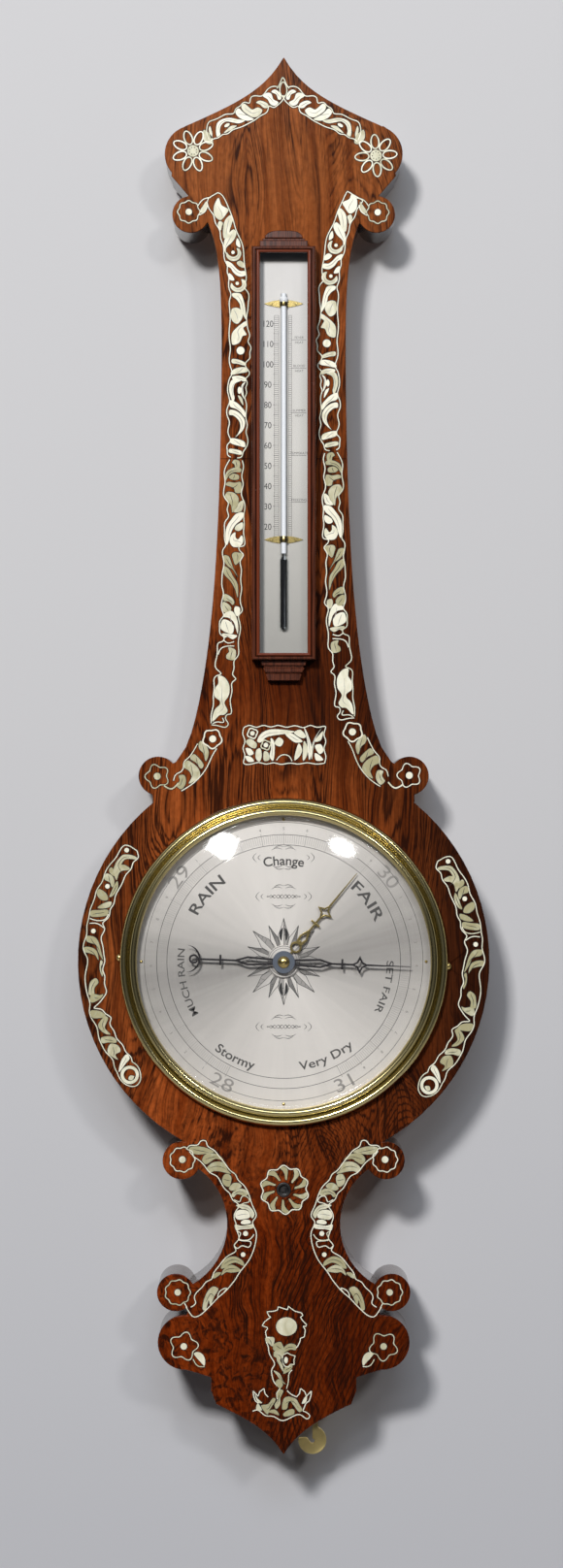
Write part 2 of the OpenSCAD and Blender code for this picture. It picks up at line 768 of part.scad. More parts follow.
// the solid case between two heights, before its hollows are cut
module core(z0, z1) slab(0, carcass_h) intersection() {
    outline();
    box2(-body_r * 2, body_r * 2, z0, z1);
}

module case_crest() color(pine) at_dial() difference() {
    core(joint_z, crest_z + over);
    slab(-over, hang_t) box2(-hang_half - fit_gap, hang_half + fit_gap,
        dial_drop - hang_half_h - fit_gap, dial_drop + hang_half_h + fit_gap);
    rod(0, dial_drop, pocket_r, 0, pocket_depth);
    for (s = [-1, 1]) rod(s * hang_screw_x, dial_drop, hang_screw_r, 0, hang_screw_l);
}

module case_carcass() color(pine) at_dial() difference() {
    core(-tip_z - over, joint_z);
    slab(-over, channel_depth) box2(-channel_half, channel_half, -channel_foot, channel_top);
    rod(0, 0, opening_r, -over, carcass_h + over);
    for (e = cover_ends) slab(-over, cover_t)
        box2(-cover_half - fit_gap, cover_half + fit_gap, e[0] - fit_gap, e[1] + fit_gap);
    slab(-over, door_in + door_t + door_floor_gap)
        box2(door_edge, door_half + fit_gap, -door_half - fit_gap, door_half + fit_gap);
    slab(-over, hinge_floor) box2(hinge_x - knuckle_r * 2, door_edge + knuckle_r * 2,
        -door_half - fit_gap, door_half + fit_gap);
    for (s = [-1, 1])
        slab(-over, hinge_floor) box2(hinge_x - leaf_reach - fit_gap, hinge_x,
            s * hinge_z - hinge_half - fit_gap, s * hinge_z + hinge_half + fit_gap);
    rod(door_half, 0, notch_r, -over, notch_depth);
    slab(-over, hook_recess) hook_space();
    rod(hook_x, -hook_z, hook_screw_r, 0, hook_screw_l);
    for (e = cover_ends, p = cover_spots(e)) rod(p[0], p[1], cover_screw_r, 0, cover_screw_l);
    for (p = hinge_spots(hinge_x - leaf_screw_x)) rod(p[0], p[1], leaf_screw_r, 0, hinge_floor * 2);
    rod(0, -key_z, bush_r, channel_depth - over, carcass_h + over);
    for (i = [0:dial_pin_n - 1]) rotate([0, i * 360 / dial_pin_n, 0])
        rod(0, dial_pin_at, dial_pin_r, front - dial_pin_l, carcass_h + over);
    for (s = [0, 1]) rotate([0, bezel_screw_angle + s * 180, 0])
        rod(bezel_screw_at, 0, bezel_screw_r, front - bezel_screw_l, carcass_h + over);
}

module front_veneer() color(wood_red) at_dial() difference() {
    slab(carcass_h, front) outline();
    rod(0, 0, dial_r + run_gap, 0, front + over);
    rod(0, -key_z, bush_r, 0, front + over);
    for (s = [0, 1]) rotate([0, bezel_screw_angle + s * 180, 0])
        rod(bezel_screw_at, 0, bezel_screw_r, 0, front + over);
}

// a cover over the channel between two heights
module cover(ends) color(pine) at_dial() difference() {
    slab(0, cover_t) box2(-cover_half, cover_half, ends[0], ends[1]);
    for (p = cover_spots(ends)) {
        rod(p[0], p[1], cover_screw_r, -over, cover_t + over);
        rod(p[0], p[1], cover_head_r, -over, cover_t / 3);
    }
}

module trunk_cover() cover(cover_ends[0]);

module tail_cover() cover(cover_ends[1]);

module cover_screws() color(brass) at_dial() for (e = cover_ends, p = cover_spots(e)) {
    rod(p[0], p[1], cover_head_r, 0, cover_t / 3);
    rod(p[0], p[1], cover_screw_r, cover_t / 6, cover_screw_l);
}

module back_door() color(pine) at_dial() difference() {
    slab(door_in, door_in + door_t) box2(door_edge, door_half, -door_half, door_half);
    for (p = hinge_spots(hinge_x + leaf_screw_x))
        rod(p[0], p[1], leaf_screw_r, 0, door_in + door_t - leaf_t);
}

module case_hinge_leaves() color(brass) at_dial() difference() {
    for (s = [-1, 1]) {
        slab(hinge_floor - leaf_t, hinge_floor) box2(hinge_x - leaf_reach, hinge_x + knuckle_r / 2,
            s * hinge_z - hinge_half, s * hinge_z - run_gap);
        slab(hinge_h, hinge_floor) box2(hinge_x - knuckle_r / 2, hinge_x + knuckle_r / 2,
            s * hinge_z - hinge_half, s * hinge_z - run_gap);
        slab(hinge_floor - leaf_t, hinge_floor) box2(hinge_x - leaf_reach, hinge_x - knuckle_r * 1.5,
            s * hinge_z - hinge_half, s * hinge_z + hinge_half);
        post(hinge_x, hinge_h, knuckle_r, s * hinge_z - hinge_half, s * hinge_z - run_gap);
        post(hinge_x, hinge_h, hinge_pin_r, s * hinge_z - hinge_half, s * hinge_z + hinge_half);
    }
    for (p = hinge_spots(hinge_x - leaf_screw_x)) rod(p[0], p[1], leaf_screw_r, 0, hinge_floor + over);
}

module door_hinge_leaves() color(brass) at_dial() difference() {
    for (s = [-1, 1]) {
        slab(door_in - leaf_t, door_in) box2(hinge_x, hinge_x + leaf_reach,
            s * hinge_z + run_gap, s * hinge_z + hinge_half);
        slab(door_in - leaf_t, door_in) box2(door_edge + knuckle_r, hinge_x + leaf_reach,
            s * hinge_z - hinge_half, s * hinge_z + hinge_half);
        post(hinge_x, hinge_h, knuckle_r, s * hinge_z + run_gap, s * hinge_z + hinge_half);
    }
    for (s = [-1, 1]) post(hinge_x, hinge_h, hinge_pin_r + run_gap, s * hinge_z - hinge_half - over,
        s * hinge_z + hinge_half + over);
    for (p = hinge_spots(hinge_x + leaf_screw_x)) {
        rod(p[0], p[1], leaf_screw_r, -over, door_in + over);
        rod(p[0], p[1], leaf_head_r, -over, door_in - leaf_t / 2);
    }
}

module case_hinge_screws() color(brass) at_dial() for (p = hinge_spots(hinge_x - leaf_screw_x)) {
    rod(p[0], p[1], leaf_head_r, hinge_floor - leaf_t * 2, hinge_floor - leaf_t);
    rod(p[0], p[1], leaf_screw_r, hinge_floor - leaf_t * 1.5, hinge_floor * 2);
}

module door_hinge_screws() color(brass) at_dial() for (p = hinge_spots(hinge_x + leaf_screw_x)) {
    rod(p[0], p[1], leaf_head_r, door_in - leaf_t, door_in - leaf_t / 2);
    rod(p[0], p[1], leaf_screw_r, door_in - leaf_t * 0.6, door_in + door_t - leaf_t);
}

module hanging_plate() color(brass) at_dial() difference() {
    slab(0, hang_t) box2(-hang_half, hang_half, dial_drop - hang_half_h, dial_drop + hang_half_h);
    rod(0, dial_drop, hang_r, -over, hang_t + over);
    for (s = [-1, 1]) {
        rod(s * hang_screw_x, dial_drop, hang_screw_r, -over, hang_t + over);
        rod(s * hang_screw_x, dial_drop, hang_head_r, -over, hang_head_t);
    }
}

module hanging_screws() color(brass) at_dial() for (s = [-1, 1]) {
    rod(s * hang_screw_x, dial_drop, hang_head_r, 0, hang_head_t);
    rod(s * hang_screw_x, dial_drop, hang_screw_r, hang_head_t / 2, hang_screw_l);
}

module steady_hook() color(brass) at_dial() slab(hook_low, hook_low + hook_t)
    translate([hook_x, -hook_z]) difference() {
        r = hook_ring_r;
        union() {
            circle(r = hook_eye_r);
            translate([-hook_off, -hook_len]) circle(r = r);
            box2(-hook_off, hook_shank - hook_off, -hook_len, 0);
        }
        circle(r = hook_screw_r + run_gap);
        translate([-hook_off, -hook_len]) polygon([[0, r * hook_mouth], [0, hook_slot / 2], [hook_slot, 0],
            [hook_slot / 2, -hook_slot], [-hook_slot / 2, -hook_slot], [-hook_slot * 2, hook_slot],
            [-r * hook_mouth, hook_slot / 2], [-r * hook_mouth, r * hook_mouth]]);
    }

module steady_hook_screw() color(brass) at_dial() {
    rod(hook_x, -hook_z, hook_head_r, hook_gap * 2, hook_low - hook_gap);
    rod(hook_x, -hook_z, hook_screw_r, hook_gap * 4, hook_screw_l);
}

// a rectangular frame in the front view, smaller than the thermometer box by side and end all round
module thermo_box(side, end) box2(side - thermo_w / 2, thermo_w / 2 - side,
    thermo_low + end, thermo_low + thermo_len - end);

// the shape of the pane and the plate behind the lip
module pane_shape() thermo_box(rail_w - thermo_rebate + pane_gap, rail_end - thermo_rebate + pane_gap);

module thermometer_frame() color(wood_red) at_dial() difference() {
    slab(front, front + thermo_depth) thermo_box(0, 0);
    slab(front - over, front + thermo_depth + over) thermo_box(rail_w, rail_end);
    slab(front - over, front + thermo_depth - thermo_lip)
        thermo_box(rail_w - thermo_rebate, rail_end - thermo_rebate);
}

module thermometer_cornice() color(wood_red) at_dial() slab(front, front + cornice_depth) {
    z = thermo_low + thermo_len;
    box2(-cornice_half, cornice_half, z, z + cornice_h);
    difference() {
        box2(-cornice_top_half, cornice_top_half, z + cornice_h - eps, z + cornice_h * 2);
        both() translate([cornice_top_half + cornice_cove / 2, z + cornice_h * 2]) circle(r = cornice_cove);
    }
}

module thermometer_bracket() color(wood_red) at_dial() slab(front, front + cornice_depth)
    symmetric([[bracket_half, thermo_low], [bracket_half - bracket_in, thermo_low - bracket_step],
        [bracket_half - bracket_in * 2, thermo_low - bracket_step],
        [bracket_half - bracket_in * 2, thermo_low - bracket_step * 2],
        [bracket_half - bracket_in * 3, thermo_low - bracket_step * 2],
        [bracket_foot_half, thermo_low - bracket_h]]);

module thermometer_glass() color(glass) at_dial()
    slab(front + thermo_depth - thermo_lip - pane_t, front + thermo_depth - thermo_lip) pane_shape();

module thermometer_plate() color(silvered) at_dial() difference() {
    slab(front, front + plate_t) pane_shape();
    for (i = [0, 1], s = [-1, 1])
        rod(s * clip_pin_x, clip_z + clip_step * i, clip_pin_r, 0, front + plate_t + over);
}

// the stem and bulb as an upright turned profile with walls moved in by t
module stem_profile(r, b, t, top) polygon([[0, bulb_foot + t], [b / 2, bulb_foot + t],
    [b, bulb_foot + bulb_taper / 2 + t], [b, bulb_top - bulb_taper], [r, bulb_top], [r, top], [0, top]]);

module thermometer_tube() color(glass) at_dial() translate([0, -stem_h, 0]) rotate_extrude() difference() {
    stem_profile(stem_r, bulb_r, 0, stem_top);
    stem_profile(stem_bore, bulb_bore, bulb_r - bulb_bore, stem_top - stem_r);
}

module thermometer_mercury() color(mercury) at_dial() translate([0, -stem_h, 0]) rotate_extrude()
    stem_profile(stem_bore, bulb_bore, bulb_r - bulb_bore, reading_z);

module thermometer_clips() color(brass) at_dial() for (i = [0, 1]) translate([0, 0, clip_z + clip_step * i])
    difference() {
        union() {
            slab(front + plate_t, front + plate_t + clip_t) lens(clip_half, clip_half_h);
            intersection() {
                post(0, stem_h, stem_r + clip_t, -clip_half_h * 0.8, clip_half_h * 0.8);
                slab(front + plate_t, stem_h + bulb_r * 2) box2(-clip_half, clip_half, -clip_half, clip_half);
            }
        }
        post(0, stem_h, stem_r + run_gap, -clip_half_h * 2, clip_half_h * 2);
        for (s = [-1, 1]) rod(s * clip_pin_x, 0, clip_pin_r, front, front + plate_t * 3);
    }

module clip_pins() color(brass) at_dial() for (i = [0, 1], s = [-1, 1]) {
    z = clip_z + clip_step * i;
    rod(s * clip_pin_x, z, clip_head_r, front + plate_t + clip_t, front + plate_t + clip_t * 2);
    rod(s * clip_pin_x, z, clip_pin_r, front, front + plate_t + clip_t * 1.5);
}

// points of a roll between radii r0 and r1, its ends at h0 and h1 and its rise on top of them
function roll_points(r0, r1, h0, h1, rise) = [for (i = [0:roll_steps]) let (u = i / roll_steps)
    [r0 + (r1 - r0) * (1 - cos(180 * u)) / 2, h0 + (h1 - h0) * u + rise * sin(180 * u)]];

module bezel_ring() color(brass) at_dial() difference() {
    roll = (bezel_r - flange_w - lip_r) / 2;
    middle = lip_r + roll;
    inner = inner_roll_h - groove_h;
    outer = outer_roll_h - groove_h;
    turned() polygon(concat([[seat_r, front], [seat_r, front + seat_h], [lip_r, front + seat_h]],
        roll_points(lip_r, middle, front + groove_h, front + groove_h, inner),
        roll_points(middle + groove_w / 2, bezel_r - flange_w, front + groove_h, front + flange_h + inner,
            outer),
        [[bezel_r - flange_w, front + flange_h], [bezel_r, front + flange_h], [bezel_r, front]]));
    for (s = [0, 1]) rotate([0, bezel_screw_angle + s * 180, 0]) {
        rod(bezel_screw_at, 0, bezel_screw_r + run_gap, front - over, front + flange_h + over);
        rod(bezel_screw_at, 0, bezel_head_r + run_gap, front + flange_h, front + inner_roll_h * 2);
    }
}

// the glass's height above its rim at radius r
function glass_curve(r) = glass_rise * (1 - pow(r / (seat_r - glass_gap), 2));

module bezel_glass() color(glass) at_dial() {
    rim = seat_r - glass_gap;
    top = front + seat_h;
    turned() polygon(concat(
        [for (i = [0:arc_steps]) let (r = rim * i / arc_steps) [r, top - glass_t + glass_curve(r)]],
        [[rim, top - eps]],
        [for (i = [arc_steps:-1:0]) let (r = (lip_r - glass_gap) * i / arc_steps) [r, top + glass_curve(r) -
            glass_curve(lip_r - glass_gap)]]));
}

module glass_ring() color(brass) at_dial() {
    low = front + seat_h - glass_t - ring_h;
    turned() translate([seat_r - ring_w, low]) square([ring_w, ring_h]);
}

// points of a round head of radius r on depth h
function dome(r, h) = [for (i = [0:dome_steps]) let (a = 90 * i / dome_steps)
    [r * cos(a), h + r * dome_share * sin(a)]];

module bezel_screws() color(brass) at_dial() for (s = [0, 1]) rotate([0, bezel_screw_angle + s * 180, 0]) {
    h = front + flange_h;
    low = front - bezel_screw_l;
    turned(bezel_screw_at, 0)
        polygon(concat([[0, low], [bezel_screw_r, low], [bezel_screw_r, h]], dome(bezel_head_r, h)));
}

module dial_plate() color(silvered) at_dial() difference() {
    rod(0, 0, dial_r, carcass_h, front);
    rod(0, 0, pipe_r + run_gap, 0, front + over);
    for (i = [0:dial_pin_n - 1]) rotate([0, i * 360 / dial_pin_n, 0])
        rod(0, dial_pin_at, dial_pin_r, 0, front + over);
    for (s = [-1, 1]) rod(0, s * (bridge_half + bridge_foot / 2), bridge_screw_r, 0, carcass_h + bridge_bite);
}

module dial_pins() color(brass) at_dial() for (i = [0:dial_pin_n - 1]) rotate([0, i * 360 / dial_pin_n, 0])
    turned(0, dial_pin_at) polygon(concat([[0, front - dial_pin_l], [dial_pin_r, front - dial_pin_l],
        [dial_pin_r, front]], dome(dial_pin_head, front)));

module movement_bridge() color(brass) at_dial() difference() {
    union() {
        slab(bridge_h, bridge_h + bridge_t) box2(-bridge_w / 2, bridge_w / 2, -bridge_half, bridge_half);
        for (s = [0, 1]) mirror([0, 0, s]) {
            slab(bridge_h, carcass_h) box2(-bridge_w / 2, bridge_w / 2, bridge_half - bridge_t, bridge_half);
            slab(carcass_h - bridge_t, carcass_h)
                box2(-bridge_w / 2, bridge_w / 2, bridge_half - bridge_t, bridge_half + bridge_foot);
        }
    }
    rod(0, 0, arbor_r + run_gap, 0, bridge_h + bridge_t + over);
    for (s = [-1, 1]) rod(0, s * (bridge_half + bridge_foot / 2), bridge_screw_r, 0, carcass_h + over);
}

module bridge_screws() color(brass) at_dial() for (s = [-1, 1]) {
    z = s * (bridge_half + bridge_foot / 2);
    rod(0, z, bridge_head_r, carcass_h - bridge_t - bridge_head_t, carcass_h - bridge_t);
    rod(0, z, bridge_screw_r, carcass_h - bridge_t - bridge_head_t / 2, carcass_h + bridge_bite);
}

module pulley_arbor() color(brass) at_dial()
    rod(0, 0, arbor_r, bridge_h - bridge_t / 2, front + hand_h + hand_t + button_h / 2);

// a pulley's profile with grooves at the listed depths, for a cord of radius c turning at radius p
module grooved(bore, p, c, cheek, depths) {
    low = depths[0] - pulley_edge;
    high = depths[len(depths) - 1] + pulley_edge;
    difference() {
        translate([bore, low]) square([cheek - bore, high - low]);
        for (d = depths) translate([p - c - run_gap, d - groove_w / 2]) square([cheek, groove_w]);
    }
}

module float_pulley() color(brass) at_dial()
    turned() grooved(arbor_r, cord_at, cord_r, cheek_r, [weight_h, float_h]);

// a diamond with hollow sides
module diamond(d) polygon([for (i = [0:3], k = [0, 1])
    let (a = 90 * i + 45 * k, r = d * (k == 0 ? 1 : sqrt(0.5) * (1 - diamond_curve)))
        [r * sin(a), r * cos(a)]]);

// the outline of a hand's pointed arch, from radius r0 to reach
module arch(r0, reach) {
    foot = arch_half * arch_foot;
    knee = reach * arch_knee;
    polygon([[-foot, r0], [-arch_half, knee], [-bar_w / 2, reach], [0, reach + bar_w], [bar_w / 2, reach],
        [arch_half, knee], [foot, r0]]);
}

// the opening between the arch's two bars
module arch_hole(r0, reach) {
    foot = arch_half * arch_foot - bar_w;
    knee = reach * arch_knee;
    in = arch_half - bar_w;
    polygon([[-foot, r0], [-in, knee], [0, reach - bar_w * 2], [in, knee], [foot, r0]]);
}

// one arm of a hand, pointing up, from radius r0 to its point, between depths h0 and h1
module hand_arm(h0, h1, r0, reach, cross, diamond_z, tip) {
    join = diamond_half * diamond_open + bar_w / 2;
    plates(h0, h1) {
        arch(r0, reach);
        box2(-cross_half, cross_half, cross - bar_w / 2, cross + bar_w / 2);
        box2(-bar_w / 2, bar_w / 2, reach - bar_w / 2, diamond_z - join);
        translate([0, diamond_z]) diamond(diamond_half);
        polygon([[-bar_w / 2, diamond_z + join], [bar_w / 2, diamond_z + join], [bar_w / 6, tip],
            [-bar_w / 6, tip]]);
    }
}

module indicating_hand() color(steel_blue) at_dial() rotate([0, hand_rest, 0]) difference() {
    h = front + hand_h;
    union() {
        hand_arm(h, h + hand_t, hub_r - bar_w, arch_len, cross_at, diamond_at, hand_len);
        plates(h, h + hand_t) {
            circle(r = hub_r);
            mirror([0, 1]) arch(hub_r - bar_w, arch_len);
            box2(-bar_w / 2, bar_w / 2, tail_ring_r - hand_tail - bar_w / 2, bar_w / 2 - arch_len);
            translate([0, -cross_at - tail_ring_r]) square([cross_half * 2, bar_w], center = true);
            translate([0, -hand_tail]) circle(r = tail_ring_r);
            difference() {
                translate([0, tail_ring_r - hand_tail + bar_w - horn_r]) circle(r = horn_r);
                translate([0, tail_ring_r - hand_tail - horn_r]) circle(r = horn_r);
                box2(-horn_r * 2, horn_r * 2, -hand_tail - horn_r * 3, tail_ring_r - hand_tail - horn_r);
            }
        }
    }
    plates(h - over, h + hand_t + over) {
        arch_hole(hub_r + bar_w / 2, arch_len);
        mirror([0, 1]) arch_hole(hub_r + bar_w / 2, arch_len);
        translate([0, diamond_at]) diamond(diamond_half * diamond_open);
        translate([0, -hand_tail]) circle(r = tail_ring_r - bar_w);
        circle(r = arbor_r);
    }
}

module hand_button() color(brass) at_dial() {
    h = front + hand_h + hand_t;
    end = acos(arbor_r / button_r);
    turned() polygon(concat([[arbor_r, h]], [for (i = [0:dome_steps]) let (a = end * i / dome_steps)
        [button_r * cos(a), h + button_h * sin(a)]]));
}

module set_hand() color(brass) at_dial() rotate([0, set_rest, 0]) difference() {
    h = front + set_h;
    root = set_ring_at + set_ring_r - bar_w;
    reach = arch_len * set_share;
    union() {
        hand_arm(h, h + hand_t, root, reach, cross_at * set_share, diamond_at * set_share, set_len);
        plates(h, h + hand_t) {
            circle(r = pipe_r + bar_w);
            translate([0, set_ring_at]) circle(r = set_ring_r);
            box2(-bar_w / 2, bar_w / 2, pipe_r + bar_w / 2, set_ring_at);
        }
    }
    plates(h - over, h + hand_t + over) {
        translate([0, set_ring_at]) circle(r = set_ring_r - bar_w);
        arch_hole(root + bar_w * 2, reach);
        translate([0, diamond_at * set_share]) diamond(diamond_half * diamond_open);
        circle(r = pipe_r);
    }
}

module set_hand_collet() color(silvered) at_dial() difference() {
    rod(0, 0, collet_r, front + collet_gap, front + collet_gap + collet_t);
    rod(0, 0, pipe_r, front, front + set_h);
}

module set_hand_pipe() color(brass) at_dial() difference() {
    rod(0, 0, pipe_r, pipe_low, front + set_h + hand_t);
    rod(0, 0, arbor_r + run_gap, 0, front + hand_h);
}

module set_hand_pulley() color(brass) at_dial()
    turned() grooved(pipe_r, set_cord_at, set_cord_r, cheek_r + set_cord_r, [set_cord_h]);

module set_key_arbor() color(brass) at_dial() {
    rod(0, -key_z, key_r, pipe_low, front - bush_mouth + bush_out);
    slab(front - bush_mouth, front + bush_out / 4) translate([0, -key_z]) square(key_square, center = true);
}

module set_key_pulley() color(brass) at_dial()
    turned(0, -key_z) grooved(key_r, set_cord_at, set_cord_r, cheek_r + set_cord_r, [set_cord_h]);

module set_key_bush() color(ebony) at_dial() difference() {
    rod(0, -key_z, bush_r, channel_depth, front + bush_out);
    rod(0, -key_z, key_r + run_gap, 0, front);
    rod(0, -key_z, bush_mouth_r, front + bush_out - bush_mouth, front + over * 2);
}

module set_cord() color(silk) at_dial() translate([0, -set_cord_h, 0]) {
    for (s = [-1, 1]) translate([s * set_cord_at, 0, -key_z]) cylinder(r = set_cord_r, h = key_z);
    rotate([90, 0, 0]) rotate_extrude(angle = 180) translate([set_cord_at, 0]) circle(r = set_cord_r);
    translate([0, 0, -key_z]) rotate([-90, 0, 0]) rotate_extrude(angle = 180) translate([set_cord_at, 0])
        circle(r = set_cord_r);
}

// the bend under the two limbs, for a section given in the plane of the limbs
module bend() translate([bend_x, -float_h, -bend_z]) rotate([-90, 0, 0]) rotate_extrude(angle = 180)
    translate([bend_r, 0]) children();

module syphon_tube() color(glass) at_dial() {
    difference() {
        post(limb_x, float_h, tube_r, -bend_z, tube_top);
        post(limb_x, float_h, tube_bore, -bend_z - over, tube_top - tube_r);
    }
    difference() {
        post(cord_at, float_h, tube_r, -bend_z, -short_top);
        post(cord_at, float_h, tube_bore, -bend_z - over, -short_top + over);
    }
    bend() difference() {
        circle(r = tube_r);
        circle(r = tube_bore);
    }
}

module mercury_column() color(mercury) at_dial() {
    post(limb_x, float_h, tube_bore, -bend_z, mercury_top);
    bend() circle(r = tube_bore);
}

module mercury_open_limb() color(mercury) at_dial() post(cord_at, float_h, tube_bore, -bend_z, -mercury_open);

module float_weight() color(steel_blue) at_dial()
    post(cord_at, float_h, float_r, -mercury_open, -mercury_open + float_len);

module counterweight() color(brass) at_dial()
    post(-cord_at, weight_h, weight_r, -weight_z - weight_len, -weight_z);

// a cord that hangs from one side of the pulley and laps over its top
module hung_cord(side, h, foot) color(silk) at_dial() translate([0, -h, 0]) {
    translate([side * cord_at, 0, -foot]) cylinder(r = cord_r, h = foot);
    rotate([90, 0, 0]) rotate_extrude(angle = 180) translate([cord_at, 0]) circle(r = cord_r);
}

module float_cord() hung_cord(1, float_h, mercury_open - float_len);

module counterweight_cord() hung_cord(-1, weight_h, weight_z);

module counterweight_tube() color(glass) at_dial() difference() {
    post(-cord_at, weight_h, guide_r, -guide_foot, -guide_top);
    post(-cord_at, weight_h, guide_bore, -guide_foot - over, -guide_top + over);
}

module tube_saddles() color(cork) at_dial() difference() {
    for (z = saddles) slab(saddle_h, channel_depth)
        box2(limb_x - saddle_half, limb_x + saddle_half, z - saddle_half_h, z + saddle_half_h);
    post(limb_x, float_h, tube_r, -bend_z, tube_top);
}

module tube_ties() color(cork) at_dial() difference() {
    for (z = ties) slab(saddle_h, tie_h) box2(-tie_half, tie_half, z - tie_half_h, z + tie_half_h);
    post(cord_at, float_h, tube_r, -bend_z, 0);
    post(-cord_at, weight_h, guide_r, -bend_z, 0);
}

// a band along a path, with scalloped edges; the path is a function of 0 to 1
module ribbon(path, half, wave, waves) {
    d = 1 / band_steps / 4;
    function edge(i, s) = let (t = i / band_steps, v = path(t + d) - path(t - d),
        w = half + wave * cos(360 * waves * t)) path(t) + s * w * [-v[1], v[0]] / norm(v);
    polygon(concat([for (i = [0:band_steps]) edge(i, 1)], [for (i = [band_steps:-1:0]) edge(i, -1)]));
}

// a flower of round petals
module flower(r, n) {
    p = r * petal_share;
    circle(r = r - p);
    for (i = [0:n - 1]) rotate(i * 360 / n) translate([r - p, 0]) circle(r = p);
}

module inlay_crest() color(pearl) at_dial() slab(front, front + inlay_t) {
    reach = ear_x - daisy_r + band_half;
    ribbon(function (t) let (x = reach * (2 * t - 1), soft = sqrt(x * x + daisy_r * daisy_r) - daisy_r / 2)
        [x, crest_edge(soft) - crest_in], band_half, band_wave, crest_waves);
    both() translate([ear_x, ear_z]) flower(daisy_r, petal_n);
    both() translate([top_scroll_x, top_scroll_z]) flower(flower_r, petal_n);
}

module inlay_trunk() color(pearl) at_dial() slab(front, front + inlay_t) {
    both() ribbon(function (t) let (z = trunk_low + (trunk_high - trunk_low) * t)
        [neck_side(z) - trunk_in, z], band_half, band_wave, trunk_waves);
    both() translate([waist_scroll_x, waist_scroll_z]) flower(flower_r, petal_n);
}

module inlay_waist() color(pearl) at_dial() slab(front, front + inlay_t)
    translate([0, waist_z]) box2(-waist_half, waist_half, -waist_half_h, waist_half_h);

module inlay_dial_sides() color(pearl) at_dial() slab(front, front + inlay_t)
    both() ribbon(function (t) let (a = side_band_angle * (2 * t - 1)) side_band_r * [cos(a), sin(a)],
        band_half, band_wave, crest_waves);

module inlay_rosette() color(pearl) at_dial() slab(front, front + inlay_t) translate([0, -key_z])
    difference() {
        flower(rosette_r, rosette_n);
        circle(r = bush_r);
    }

module inlay_tail() color(pearl) at_dial() slab(front, front + inlay_t) {
    both() ribbon(function (t) let (a = 180 + tail_band_angle * (2 * t - 1))
        [cut_x, -cut_z] + (cut_r + tail_in) * [cos(a), sin(a)], band_half, band_wave, tail_waves);
    both() translate([tail_scroll_x, -tail_scroll_z]) flower(flower_r, petal_n);
    both() translate([low_scroll_x, -low_scroll_z]) flower(flower_r, petal_n);
    both() translate([tail_ear_x, -tail_ear_z]) flower(flower_r, petal_n);
    translate([0, -spray_z]) flower(spray_r, rosette_n);
    translate([0, -panel_z]) lens(panel_half, panel_half_h);
}

case_crest();
case_carcass();
front_veneer();
trunk_cover();
tail_cover();
cover_screws();
back_door();
case_hinge_leaves();
door_hinge_leaves();
case_hinge_screws();
door_hinge_screws();
hanging_plate();
hanging_screws();
steady_hook();
steady_hook_screw();
thermometer_frame();
thermometer_cornice();
thermometer_bracket();
thermometer_glass();
thermometer_plate();
thermometer_tube();
thermometer_mercury();
thermometer_clips();
clip_pins();
bezel_ring();
bezel_glass();
glass_ring();
bezel_screws();
dial_plate();
dial_pins();
movement_bridge();
bridge_screws();
pulley_arbor();
float_pulley();
indicating_hand();
hand_button();
set_hand();
set_hand_collet();
set_hand_pipe();
set_hand_pulley();
set_key_arbor();
set_key_pulley();
set_key_bush();
set_cord();
syphon_tube();
mercury_column();
mercury_open_limb();
float_weight();
float_cord();
counterweight();
counterweight_cord();
counterweight_tube();
tube_saddles();
tube_ties();
inlay_crest();
inlay_trunk();
inlay_waist();
inlay_dial_sides();
inlay_rosette();
inlay_tail();
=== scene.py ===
"""Wheel barometer in a scrolled, inlaid wall case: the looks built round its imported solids."""
import math

import bpy
import numpy as np
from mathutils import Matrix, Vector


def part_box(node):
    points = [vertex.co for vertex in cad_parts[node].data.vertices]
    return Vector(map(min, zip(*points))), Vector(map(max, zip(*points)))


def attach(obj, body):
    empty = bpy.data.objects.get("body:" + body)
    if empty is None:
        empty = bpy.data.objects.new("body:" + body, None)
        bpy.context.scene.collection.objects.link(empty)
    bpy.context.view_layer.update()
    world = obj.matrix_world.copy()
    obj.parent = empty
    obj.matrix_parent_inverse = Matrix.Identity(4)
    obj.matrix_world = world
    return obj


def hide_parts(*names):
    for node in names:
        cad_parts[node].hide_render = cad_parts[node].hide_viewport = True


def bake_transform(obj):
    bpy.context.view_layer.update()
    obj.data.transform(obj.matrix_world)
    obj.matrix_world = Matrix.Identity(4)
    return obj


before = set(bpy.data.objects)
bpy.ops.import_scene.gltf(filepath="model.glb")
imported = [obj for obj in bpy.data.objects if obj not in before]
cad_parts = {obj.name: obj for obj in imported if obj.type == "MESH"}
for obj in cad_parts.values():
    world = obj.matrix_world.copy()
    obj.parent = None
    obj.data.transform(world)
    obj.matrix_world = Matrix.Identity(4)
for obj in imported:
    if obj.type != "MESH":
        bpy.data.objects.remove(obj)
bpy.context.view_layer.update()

bl_info = {
    "name": "Wheel barometer",
    "version": (1, 0, 0),
    "blender": (4, 5, 0),
    "location": "View3D > Sidebar > Barometer",
    "description": "Dresses a wheel barometer: rosewood, pearl inlay, brass bezel, silvered scales and glass",
    "category": "Object",
}

MM = 0.001
PLATE_LOW, PLATE_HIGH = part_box("dial_plate")
DIAL_Z = (PLATE_LOW[2] + PLATE_HIGH[2]) / 2
FRONT = -PLATE_LOW[1] / MM
SEED = 11
SCALE_START, INCH_TURN = -153, 102  # degrees on the dial: the scale's first mark, and one inch of it
HAIR = 0.004  # millimetres between two layers of engraving
ROUND = 20  # steps round a cord or a column
SHARP = math.radians(40)  # edges that turn by more than this are rounded
WELD_GAP = 2e-5  # metres within which the points of a CAD mesh are joined


# ---- shapes

